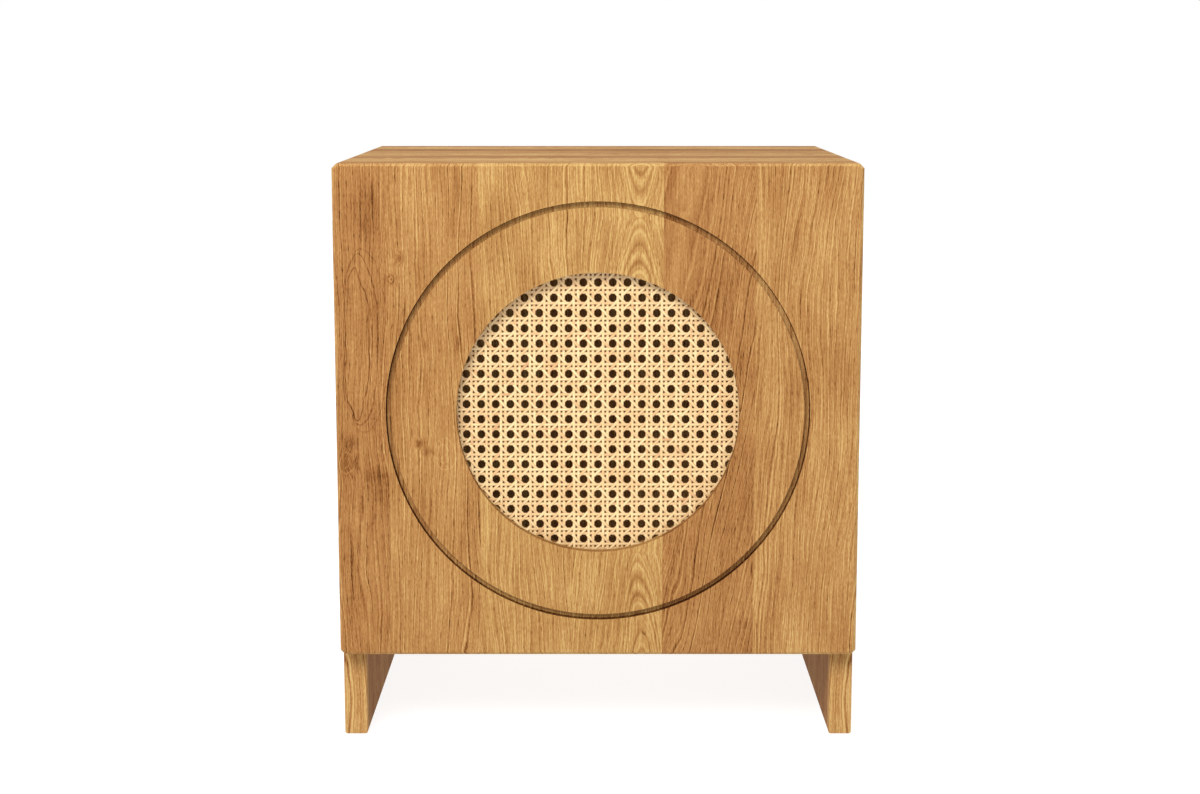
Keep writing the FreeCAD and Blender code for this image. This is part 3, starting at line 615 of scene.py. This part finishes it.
# %% Oak: the door
FACING = ("X", "Z", "Y")
BOARD_WIDTH = 78.6
FIRST_JOINT = -180 - BOARD_WIDTH
DOOR_FACE = round(-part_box("door_panel")[0].y / MM)
cane_low, cane_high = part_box("cane_webbing")
CANE_MIDDLE = (cane_low + cane_high) / 2
RING_MIDDLE = (round(CANE_MIDDLE.x / MM), round(CANE_MIDDLE.z / MM))
DOOR_BOARDS = (
    ((0.44, 0.50, 0.45), (0.20, 0.60, 0.50)),
    ((0.34, 0.50, 0.50), (0.85, 0.50, 0.55)),
    ((0.28, 0.46, 0.60), (0.95, 0.40, 0.45)),
    ((0.23, 0.50, 0.62), (0.56, 0.15, 0.28)),
    ((0.46, 0.72, 0.45), (0.10, 0.50, 0.50)),
    ((0.30, 0.55, 0.50), (0.95, 0.45, 0.60)),
)
DOOR_MARKS = (
    # The dark stretch at the top of the left board, and the streaks in it and below it.
    ((-194, 467), (17, 50), 0.0, 0.22),
    ((-190, 478), (3, 22), 0.0, 0.16),
    ((-191, 400), (4, 60), 0.0, 0.14),
    # Two pin knots.
    ((-167, 428), (6, 8), 6.0, 0.26),
    ((-174, 410), (6, 8), 6.0, 0.22),
    # Short mineral streaks, and the darker wood round them.
    ((-166, 384), (3, 16), 0.0, 0.28),
    ((-119, 354), (3, 13), 0.0, 0.42),
    ((-148, 353), (2, 8), 0.0, 0.30),
    ((-150, 330), (30, 60), 0.0, 0.08),
    # The knot at the left edge, its dark flank and the streaks below it.
    ((-212, 270), (13, 9), 0.0, 0.16),
    ((-216, 251), (14, 17), 7.0, 0.12),
    ((-191, 240), (19, 11), 0.0, 0.18),
    ((-188, 229), (26, 28), 0.0, 0.13),
    ((-196, 198), (3, 28), 0.0, 0.20),
    ((-205, 211), (3, 16), 0.0, 0.20),
    ((-214, 150), (2, 66), 0.0, 0.26),
    # The small black knot, its two wings and the stain below it.
    ((-153, 268), (7, 7), 4.0, 0.40),
    ((-146, 261), (11, 6), 0.0, 0.20),
    ((-158, 278), (5, 10), 0.0, 0.18),
    ((-155, 216), (15, 52), 0.0, 0.12),
    # A darker and a paler field below the window, and two short streaks on the right.
    ((30, 130), (42, 70), 0.0, 0.15),
    ((95, 115), (50, 90), 0.0, -0.05),
    ((132, 156), (2.4, 12), 0.0, 0.34),
    ((128.6, 107), (2, 7), 0.0, 0.30),
)
DOOR_OVALS = (
    # Three dark rings, long and narrow, in the left board.
    ((-206, 354), (10.4, 66), 0.9, 0.34),
    ((-203, 358), (15.6, 74), 0.8, 0.26),
    ((-200, 357), (20.5, 79), 0.8, 0.18),
    # Light rings round the knot at the left edge, and beside the black one.
    ((-216, 251), (3.5, 4.5), 0.8, -0.16),
    ((-216, 251), (7.5, 9.5), 0.8, -0.18),
    ((-132, 259), (5, 8), 0.8, -0.16),
    ((-131, 259), (9, 14), 0.8, -0.14),
)
# Shade and highlight painted into the door's cuts.
DOOR_CUT_LIGHT_AND_SHADE = (
    # Painted shade on the floor of the ring groove, and a painted shadow along its outer edge.
    (179.7, 5.0, -5.0, -1.2, 0.03),
    (182.1, 0.9, -5.0, -0.6, 0.55),
    # Painted shade at the edge of the round window.
    (120.9, 1.6, -6.0, -0.6, 0.20),
    # Painted highlight on the chamfer along the door's own edges, which makes it paler than the
    # face.
    (340.0, 300.0, -2.6, -0.5, -0.16),
)
door_oak = oiled_oak(
    "oiled_oak_door_with_painted_light",
    FACING,
    DOOR_FACE,
    FIRST_JOINT,
    BOARD_WIDTH,
    DOOR_BOARDS,
    DOOR_MARKS,
    DOOR_OVALS,
    RING_MIDDLE,
    DOOR_CUT_LIGHT_AND_SHADE,
)
paint("door_panel", door_oak)
print("door boards:", len(DOOR_BOARDS))

# %% [markdown]
# ### The box, the legs and the back
#
# On the top and the bottom the grain runs from left to right, and on the sides and the legs it
# stands upright. The top and the legs have boards of their own, and the other panels share one
# set. Each finish is told where its face lies, so that depth in the wood is counted from there.

# %% Oak: box and legs
LYING = ("Y", "X", "Z")
SIDEWAYS = ("Y", "Z", "X")
TOP_FACE = round(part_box("top_panel")[1].z / MM)
BOTTOM_FACE = round(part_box("bottom_panel")[0].z / MM)
SIDE_FACE = round(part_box("right_side_panel")[1].x / MM)
RING_FACE = round(-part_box("cane_retaining_ring")[1].y / MM)
BACK_FACE = round(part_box("back_panel")[1].y / MM)
# The legs are counted from 3 mm inside their face, which moves their rings against the sides'.
LEG_FACE = SIDE_FACE - 3
PANEL_BOARDS = (
    ((0.24, 0.50, 0.50), (0.90, 0.50, 0.50)),
    ((0.19, 0.46, 0.55), (0.55, 0.20, 0.30)),
    ((0.33, 0.54, 0.45), (0.10, 0.50, 0.55)),
    ((0.22, 0.50, 0.50), (0.52, 0.25, 0.65)),
    ((0.29, 0.48, 0.48), (0.95, 0.40, 0.45)),
)
TOP_BOARDS = (
    ((0.26, 0.50, 0.50), (0.90, 0.50, 0.50)),
    ((0.12, 0.48, 0.50), (0.55, 0.20, 0.30)),
    ((0.38, 0.52, 0.45), (0.10, 0.50, 0.55)),
    ((0.16, 0.50, 0.50), (0.52, 0.25, 0.65)),
    ((0.30, 0.49, 0.52), (0.95, 0.40, 0.45)),
    ((0.46, 0.51, 0.45), (0.90, 0.50, 0.50)),
    ((0.12, 0.50, 0.50), (0.55, 0.20, 0.30)),
    ((0.34, 0.50, 0.50), (0.10, 0.50, 0.55)),
)
# The legs' front board is pale. The boards behind it are dark, as painted shade for the legs'
# inner faces, which makes their outer faces dark too.
LEG_BOARDS_DARKENED_AS_SHADE = (
    ((0.17, 0.50, 0.50), (0.90, 0.50, 0.50)),
    ((0.46, 0.50, 0.45), (0.55, 0.20, 0.30)),
    ((0.40, 0.48, 0.48), (0.10, 0.50, 0.55)),
    ((0.46, 0.52, 0.45), (0.52, 0.25, 0.65)),
)

SIDES = ("left_side_panel", "right_side_panel")
LEGS = ("left_leg", "right_leg")
for name, axes, face, first_joint, board_width, boards, nodes in (
    ("oiled_oak_top", LYING, TOP_FACE, -175, 47, TOP_BOARDS, ("top_panel",)),
    ("oiled_oak_bottom", LYING, BOTTOM_FACE, -198, BOARD_WIDTH, PANEL_BOARDS, ("bottom_panel",)),
    ("oiled_oak_sides", SIDEWAYS, SIDE_FACE, -198, BOARD_WIDTH, PANEL_BOARDS, SIDES),
    ("oiled_oak_legs_with_painted_shade", SIDEWAYS, LEG_FACE, -237, 96, LEG_BOARDS_DARKENED_AS_SHADE, LEGS),
    ("oiled_oak_ring", FACING, RING_FACE, -250, 100, PANEL_BOARDS, ("cane_retaining_ring",)),
    ("oak_veneer_back", FACING, BACK_FACE, -300, 120, PANEL_BOARDS, ("back_panel",)),
):
    finish = oiled_oak(name, axes, face, first_joint, board_width, boards)
    for node in nodes:
        paint(node, finish)
    print(name, "covers", ", ".join(nodes))

# %% [markdown]
# ## Small parts
#
# Raw beech is pale and plain. The hinges and their screws are steel with a satin nickel coat,
# the other screws are zinc plated, the push latch is moulded in grey ABS and the pads under the
# legs are pressed felt. Each has one visible trait: fine flecks, brushing, spangle, a grainy
# mould or matted fibres. One noise makes them all, drawn out where the trait has a direction.

# %% Small parts
NOISE_LOW = 0.3
NOISE_HIGH = 0.7
ROUGHNESS_SPREAD = 0.06
PLAIN_IOR = 1.5


def textured(name, colours, spacing, roughness, depth, stretch=(1, 1, 1), metal=0.0):
    """A plain finish with a fine texture. Its grain size and depth are in millimetres."""
    material, tree = new_material(name)
    place = add_node(tree, "TexCoord").node.outputs["Object"]
    scaled = add_node(tree, "VectorMath", [place, stretch], operation="MULTIPLY")
    inputs = {"Vector": scaled, "Scale": 1 / (spacing * MM), "Detail": 3.0, "Roughness": 0.6}
    grain = add_node(tree, "TexNoise", inputs)
    colour = coloured(tree, grain, zip((NOISE_LOW, NOISE_HIGH), colours))
    smooth, rough = roughness - ROUGHNESS_SPREAD, roughness + ROUGHNESS_SPREAD
    rough = add_node(tree, "MapRange", [grain, NOISE_LOW, NOISE_HIGH, smooth, rough])
    relief = add_node(tree, "Bump", {"Strength": 0.4, "Distance": depth * MM, "Height": grain})
    surface = {"Base Color": colour, "Roughness": rough, "Metallic": metal, "Normal": relief}
    if not metal:
        surface["IOR"] = PLAIN_IOR
    give_surface(tree, surface)
    return material


beech = textured(
    "raw_beech",
    ("#c89c6c", "#dcb88a"),
    spacing=1.2,
    roughness=0.6,
    depth=0.05,
    stretch=(1, 1, 0.12),
)
nickel_steel = textured(
    "satin_nickel_steel",
    ("#8f8a82", "#b4afa6"),
    spacing=0.5,
    roughness=0.34,
    depth=0.02,
    stretch=(1, 1, 0.05),
    metal=1.0,
)
zinc_steel = textured(
    "zinc_plated_steel",
    ("#9a9da0", "#c3c6c8"),
    spacing=1.5,
    roughness=0.3,
    depth=0.02,
    metal=1.0,
)
latch_plastic = textured(
    "moulded_abs", ("#b9b8b4", "#c2c1bd"), spacing=0.6, roughness=0.5, depth=0.05
)
magnet_coat = textured(
    "nickel_plated_magnet",
    ("#a9a59d", "#bab6ae"),
    spacing=1.0,
    roughness=0.2,
    depth=0.01,
    metal=1.0,
)
felt = textured("pressed_felt", ("#1d140e", "#3b2b20"), spacing=0.7, roughness=0.95, depth=0.3)
for nodes, finish in (
    (("mitre_biscuits", "leg_tenons"), beech),
    (("upper_hinge_box_leaf", "upper_hinge_door_leaf", "upper_hinge_pin"), nickel_steel),
    (("lower_hinge_box_leaf", "lower_hinge_door_leaf", "lower_hinge_pin"), nickel_steel),
    (("hinge_box_screws", "hinge_door_screws"), nickel_steel),
    (("back_panel_screws", "ring_screws", "push_latch_screws", "strike_plate_screw"), zinc_steel),
    (("latch_strike_plate",), zinc_steel),
    (("push_latch_housing", "push_latch_plunger"), latch_plastic),
    (("push_latch_magnet",), magnet_coat),
    (("felt_pads",), felt),
):
    for node in nodes:
        paint(node, finish)
    print(finish.name, "covers", ", ".join(nodes))

# %% [markdown]
# ## Pieces of the scene
#
# The screws and the strands of cane are built here and take the place of plainer CAD solids.
# Every such piece is shaded smooth, apart from edges sharper than a given angle, and rides on
# the body that its solid belongs to.

# %% Pieces of the scene
TOUCHING = 0.001 * MM


def add_piece(name, builder, sharp_from, finish, node, slot_name, body):
    """Turns built faces into a piece that stands for a CAD node and rides on its body."""
    bmesh.ops.recalc_face_normals(builder, faces=builder.faces[:])
    mesh = bpy.data.meshes.new(name)
    builder.to_mesh(mesh)
    builder.free()
    for face in mesh.polygons:
        face.use_smooth = True
    mesh.set_sharp_from_angle(angle=math.radians(sharp_from))
    mesh.materials.append(finish)
    piece = bpy.data.objects.new(name, mesh)
    bpy.context.collection.objects.link(piece)
    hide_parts(node)
    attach(piece, body)


# %% [markdown]
# ## Screws
#
# The CAD screws say where each one sits: the wide end of each body is its head, and the nearest
# level below it is where the head meets the shank. Each body is found by walking from corner to
# corner along its edges.

# %% Screws: where they sit
SAME_LEVEL = 0.01 * MM


def bodies_of(node):
    """The corners of each separate body in a CAD node, in the order of the node's corners."""
    builder = bmesh.new()
    builder.from_mesh(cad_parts[node].data)
    bmesh.ops.remove_doubles(builder, verts=builder.verts[:], dist=TOUCHING)
    seen = set()
    for first in builder.verts:
        if first in seen:
            continue
        seen.add(first)
        body, to_visit = [], [first]
        while to_visit:
            corner = to_visit.pop()
            body.append(corner.co.copy())
            for edge in corner.link_edges:
                other = edge.other_vert(corner)
                if other not in seen:
                    seen.add(other)
                    to_visit.append(other)
        yield body
    builder.free()


def measure_screw(corners):
    """Where a CAD screw's head is, which way it faces, and its sizes."""
    low = Vector([min(corner[way] for corner in corners) for way in range(3)])
    high = Vector([max(corner[way] for corner in corners) for way in range(3)])
    way = max(range(3), key=lambda each: (high - low)[each])
    middle = (low + high) / 2

    def radius_at(level):
        centre = middle.copy()
        centre[way] = level
        ends = [corner for corner in corners if abs(corner[way] - level) < SAME_LEVEL]
        return max(math.dist(corner, centre) for corner in ends)

    facing = 1 if radius_at(high[way]) > radius_at(low[way]) else -1
    head_level, point_level = (high[way], low[way]) if facing > 0 else (low[way], high[way])
    below_head = [abs(corner[way] - head_level) for corner in corners]
    neck = min(gap for gap in below_head if gap > SAME_LEVEL)
    head = middle.copy()
    head[way] = head_level
    direction = Vector((0, 0, 0))
    direction[way] = facing
    length = abs(head_level - point_level)
    return head, direction, length, neck, radius_at(head_level), radius_at(point_level)


# %% [markdown]
# A countersunk screw is turned: its outline is spun round its axis. The cross for the driver is
# sunk into its flat head, as a cross-shaped hole whose walls lean inwards. A screw of the scene
# stays a little slimmer than the CAD one, so that it fits the same hole.

# %% Screws: turning them
SCREW_SIDES = 24
SCREW_SHARP = 35
HEAD_SHARE = 0.88
POINT_LENGTH = 2.5 * MM
EDGE_BREAK = 0.05 * MM
CROSS_REACH = 1.45 * MM
CROSS_HALF = 0.38 * MM
CROSS_DEPTH = 0.6 * MM
CROSS_TAPER = 0.7


def spin_body(builder, length, neck, head_radius, shank_radius):
    """Spins a screw's outline round the upright axis, and returns its corners."""
    outline = (
        (0.0, -length),
        (shank_radius, -length + POINT_LENGTH),
        (shank_radius, -neck),
        (head_radius, -EDGE_BREAK),
        (head_radius - EDGE_BREAK, 0.0),
    )
    before = set(builder.verts)
    line = [builder.verts.new((radius, 0, level)) for radius, level in outline]
    edges = [builder.edges.new(pair) for pair in zip(line, line[1:])]
    bmesh.ops.spin(
        builder,
        geom=line + edges,
        axis=(0, 0, 1),
        cent=(0, 0, 0),
        angle=math.tau,
        steps=SCREW_SIDES,
        use_merge=True,
    )
    made = [vertex for vertex in builder.verts if vertex not in before]
    bmesh.ops.remove_doubles(builder, verts=made, dist=TOUCHING)
    return [vertex for vertex in builder.verts if vertex not in before]


def sink_cross(builder, body):
    """Closes the top of a spun body with a flat head that has a cross sunk into it."""
    rim = {vertex for vertex in body if abs(vertex.co.z) < TOUCHING}
    rim_edges = [edge for edge in builder.edges if edge.is_boundary and set(edge.verts) <= rim]

    # A quarter of the cross, turned four times.
    quarter = [(CROSS_HALF, CROSS_HALF), (CROSS_REACH, CROSS_HALF), (CROSS_REACH, -CROSS_HALF)]
    cross = []
    for turn in range(4):
        for x, y in quarter:
            for _ in range(turn):
                x, y = y, -x
            cross.append(builder.verts.new((x, y, 0)))
    cross_edges = [builder.edges.new(pair) for pair in zip(cross, cross[1:] + cross[:1])]
    bmesh.ops.triangle_fill(builder, edges=rim_edges + cross_edges, use_beauty=True)
    inner = [face for face in builder.faces if set(face.verts) <= set(cross)]
    bmesh.ops.delete(builder, geom=inner, context="FACES_ONLY")

    sunk = bmesh.ops.extrude_edge_only(builder, edges=cross_edges)["geom"]
    bottom = {item for item in sunk if isinstance(item, bmesh.types.BMVert)}
    for vertex in bottom:
        vertex.co = (vertex.co.x * CROSS_TAPER, vertex.co.y * CROSS_TAPER, -CROSS_DEPTH)
    bottom_edges = [edge for edge in builder.edges if set(edge.verts) <= bottom]
    bmesh.ops.triangle_fill(builder, edges=bottom_edges, use_beauty=True)


def turn_screw(builder, head, direction, length, neck, head_radius, shank_radius):
    """Adds one screw, and lays it where the CAD one sits."""
    before = set(builder.verts)
    radii = head_radius * HEAD_SHARE, shank_radius * HEAD_SHARE
    body = spin_body(builder, length, neck, *radii)
    sink_cross(builder, body)
    made = [vertex for vertex in builder.verts if vertex not in before]
    turned = direction.to_track_quat("Z", "Y").to_matrix().to_4x4()
    bmesh.ops.transform(builder, matrix=Matrix.Translation(head) @ turned, verts=made)


screw_count = 0
for node, body, slot_name, finish in (
    ("back_panel_screws", "table", "zinc_plated_steel", zinc_steel),
    ("ring_screws", "door", "zinc_plated_steel", zinc_steel),
    ("push_latch_screws", "table", "zinc_plated_steel", zinc_steel),
    ("strike_plate_screw", "door", "zinc_plated_steel", zinc_steel),
    ("hinge_box_screws", "table", "satin_nickel_steel", nickel_steel),
    ("hinge_door_screws", "door", "satin_nickel_steel", nickel_steel),
):
    builder = bmesh.new()
    for corners in bodies_of(node):
        turn_screw(builder, *measure_screw(corners))
        screw_count += 1
    add_piece("turned_" + node, builder, SCREW_SHARP, finish, node, slot_name, body)
print("screws turned:", screw_count)

# %% [markdown]
# ## The cane
#
# Cane webbing is woven from peeled rattan: pairs of strands upright, pairs of strands level, and
# single strands on both diagonals. What stays open is an eight-sided hole.
#
# Rattan peel is glossy on its outer side, pale straw to cream, and browner along its cut edges.
# No two strands match. Each strand has a map of its own: it runs along the strand in
# millimetres, and from -1 to 1 across it. Fine lines and slow patches follow the strand in all
# four directions, and each strand starts at another place in them, which gives it another tone.

# %% Cane: the finish
STRAND_MAP = "strand"
PEEL_SHADES = ((0.30, "#b07f55"), (0.45, "#c8a573"), (0.60, "#d6bd8c"))
CUT_EDGE_SHADE = "#a4703f"
# Waves of noise for each step of the map, along a strand and across it.
STREAK_RATE = (0.03, 2.6, 1)
PATCH_RATE = (0.04, 0.05, 1)
STREAK_SHARE = 0.45
PATCH_SHARE = 0.55
# The cut edge starts this far from the strand's middle, and is mixed in by this much at most.
CUT_EDGE_START = 0.45
CUT_EDGE_SHARE = 0.6
PEEL_RELIEF = 0.1 * MM

peel, tree = new_material("rattan_peel")
strand_map = add_node(tree, "UVMap", uv_map=STRAND_MAP)
streaks = add_node(tree, "VectorMath", [strand_map, STREAK_RATE], operation="MULTIPLY")
streaks = add_node(tree, "TexNoise", {"Vector": streaks, "Scale": 1.0, "Detail": 3.0})
patches = add_node(tree, "VectorMath", [strand_map, PATCH_RATE], operation="MULTIPLY")
patches = add_node(tree, "TexNoise", {"Vector": patches, "Scale": 1.0, "Detail": 2.0})
blend = weighted_sum(tree, 0.0, [(streaks, STREAK_SHARE), (patches, PATCH_SHARE)])
# Folding the map's second number every two units gives the distance from the strand's middle.
off_middle = add_node(tree, "SeparateXYZ", [strand_map]).node.outputs["Y"]
off_middle = add_node(tree, "Math", [off_middle, 2.0], operation="PINGPONG")
cut_edge = [off_middle, CUT_EDGE_START, 1.0, 0.0, CUT_EDGE_SHARE]
cut_edge = add_node(tree, "MapRange", cut_edge, **EASED)
shade = coloured(tree, blend, PEEL_SHADES)
inputs = {"Fac": cut_edge, "Color1": shade, "Color2": linear(CUT_EDGE_SHADE)}
peel_colour = add_node(tree, "MixRGB", inputs)
inputs = {"Strength": 0.3, "Distance": PEEL_RELIEF, "Height": streaks}
relief = add_node(tree, "Bump", inputs)
give_surface(
    tree,
    {"Base Color": peel_colour, "Roughness": 0.38, "IOR": 1.5, "Normal": relief},
)
print("peel shades:", len(PEEL_SHADES))

# %% [markdown]
# Each strand is its own ribbon: a grid with one row of faces per bend, crowned across its width,
# pushed in and out of the sheet where it crosses the others, and then given its thickness.
# Strands of one direction are one piece. Their ends are clamped between the door and its ring,
# as in the real door, so each strand runs from edge to edge of a round sheet.

# %% Cane: a strand
PITCH_ACROSS = 12.6 * MM
PITCH_UP = 13.2 * MM
STRAND_WIDTH = 2.3 * MM
DIAGONAL_WIDTH = 2.3 * MM
STRAND_THICKNESS = 0.4 * MM
STRAND_SHARP = 50
CROWN = 0.22 * MM
RIM_GAP = 0.3 * MM
STEPS_PER_PITCH = 8
FEWEST_STEPS = 4
SHORTEST_HALF = 8 * MM
# How far each strand is moved in its own map, in millimetres along and in half widths across.
MAP_STEP_ALONG = 97
MAP_STEP_ACROSS = 4
clamp_radius = (cane_high.x - cane_low.x) / 2 - RIM_GAP


def chord(point, run):
    """Where a line through a point of the sheet meets the clamped edge, or nothing."""
    offset = Vector((point.x - CANE_MIDDLE.x, 0, point.z - CANE_MIDDLE.z))
    along_line = offset.dot(run)
    half_squared = clamp_radius**2 - (offset.length_squared - along_line**2)
    if half_squared <= SHORTEST_HALF**2:
        return None
    half = math.sqrt(half_squared)
    foot = point - run * along_line
    return foot - run * half, foot + run * half


def ribbon(builder, uv_layer, start, end, width, depth_at, number):
    """Adds one strand from start to end. depth_at gives its depth at a place in the sheet."""
    length = (end - start).length
    steps = max(FEWEST_STEPS, round(length / (PITCH_ACROSS / STEPS_PER_PITCH)))
    made = bmesh.ops.create_grid(builder, x_segments=steps, y_segments=2, size=0.5, calc_uvs=False)
    run = (end - start).normalized()
    aside = Vector((-run.z, 0, run.x))
    for vertex in made["verts"]:
        along_run, off_middle = vertex.co.x + 0.5, vertex.co.y * 2
        on_line = start + run * (along_run * length)
        spot = on_line + aside * (off_middle * width / 2)
        spot.y = CANE_MIDDLE.y + depth_at(on_line) + CROWN * off_middle**2
        vertex.co = spot
    for face in {face for vertex in made["verts"] for face in vertex.link_faces}:
        for corner in face.loops:
            offset = corner.vert.co - start
            corner[uv_layer].uv = (
                offset.dot(run) / MM + number * MAP_STEP_ALONG,
                offset.dot(aside) / (width / 2) + number * MAP_STEP_ACROSS,
            )


def finish_strands(name, builder):
    """Turns the ribbons of one direction into a piece with real thickness."""
    bmesh.ops.recalc_face_normals(builder, faces=builder.faces[:])
    bmesh.ops.solidify(builder, geom=builder.faces[:], thickness=STRAND_THICKNESS)
    add_piece(name, builder, STRAND_SHARP, peel, "cane_webbing", "woven_cane", "door")


# %% [markdown]
# A crossing is found by counting pitches from the middle of the sheet. Across, a whole number is
# a column of holes and a half is a pair of upright strands. Upwards, a whole number is a pair of
# level strands and a half is a row of holes. A diagonal dips behind the level pairs and passes
# in front of the upright ones, or the other way round, so its depth is one wave over each pitch.
# Where two pairs cross, one strand of each lies towards the front and one towards the back.

# %% Cane: depths in the weave
DIAGONAL_SWING = 0.72 * MM
PAIR_SWING = 0.24 * MM


def across_count(spot):
    """How many pitches a place lies to the right of the sheet's middle."""
    return (spot.x - CANE_MIDDLE.x) / PITCH_ACROSS


def up_count(spot):
    """How many pitches a place lies above the sheet's middle."""
    return (spot.z - CANE_MIDDLE.z) / PITCH_UP


def upright_depth(hand):
    """The depth along an upright strand, whose hand is -1 or 1 in its pair."""
    return lambda spot: hand * PAIR_SWING * math.cos(math.tau * up_count(spot))


def level_depth(hand):
    """The depth along a level strand, whose hand is -1 or 1 in its pair."""
    return lambda spot: -hand * PAIR_SWING * math.cos(math.tau * (across_count(spot) + 0.5))


def diagonal_depth(hand):
    """The depth along a diagonal strand. Its hand is 1 for one diagonal and -1 for the other."""
    return lambda spot: hand * DIAGONAL_SWING * math.cos(math.tau * across_count(spot))


# %% [markdown]
# The pairs are laid first and the diagonals after them, as in a real weave by hand. The count of
# strands so far also tells each strand where to start in the pattern of the peel.

# %% Cane: weaving
ACROSS = Vector((1, 0, 0))
UP = Vector((0, 0, 1))
PAIR_GAP = 1.5 * MM
pair_offset = (STRAND_WIDTH + PAIR_GAP) / 2
reach_steps = int(clamp_radius / PITCH_ACROSS) + 2

strand_count = 0
for name, run, side, first, pitch, depth_for in (
    ("cane_upright_strands", UP, ACROSS, 0.5, PITCH_ACROSS, upright_depth),
    ("cane_level_strands", ACROSS, UP, 0.0, PITCH_UP, level_depth),
):
    builder = bmesh.new()
    uv_layer = builder.loops.layers.uv.new(STRAND_MAP)
    for step in range(-reach_steps, reach_steps + 1):
        for hand in (-1, 1):
            middle = CANE_MIDDLE + side * ((step + first) * pitch + hand * pair_offset)
            ends = chord(middle, run)
            if ends:
                strand_count += 1
                ribbon(builder, uv_layer, *ends, STRAND_WIDTH, depth_for(hand), strand_count)
    finish_strands(name, builder)

for name, lean in (("cane_falling_strands", -1), ("cane_rising_strands", 1)):
    builder = bmesh.new()
    uv_layer = builder.loops.layers.uv.new(STRAND_MAP)
    run = Vector((PITCH_ACROSS, 0, lean * PITCH_UP)).normalized()
    for step in range(-2 * reach_steps, 2 * reach_steps + 1):
        middle = CANE_MIDDLE + Vector(((step + 0.5) * PITCH_ACROSS, 0, PITCH_UP / 2))
        ends = chord(middle, run)
        if ends:
            strand_count += 1
            ribbon(builder, uv_layer, *ends, DIAGONAL_WIDTH, diagonal_depth(-lean), strand_count)
    finish_strands(name, builder)
print("strands of cane:", strand_count)
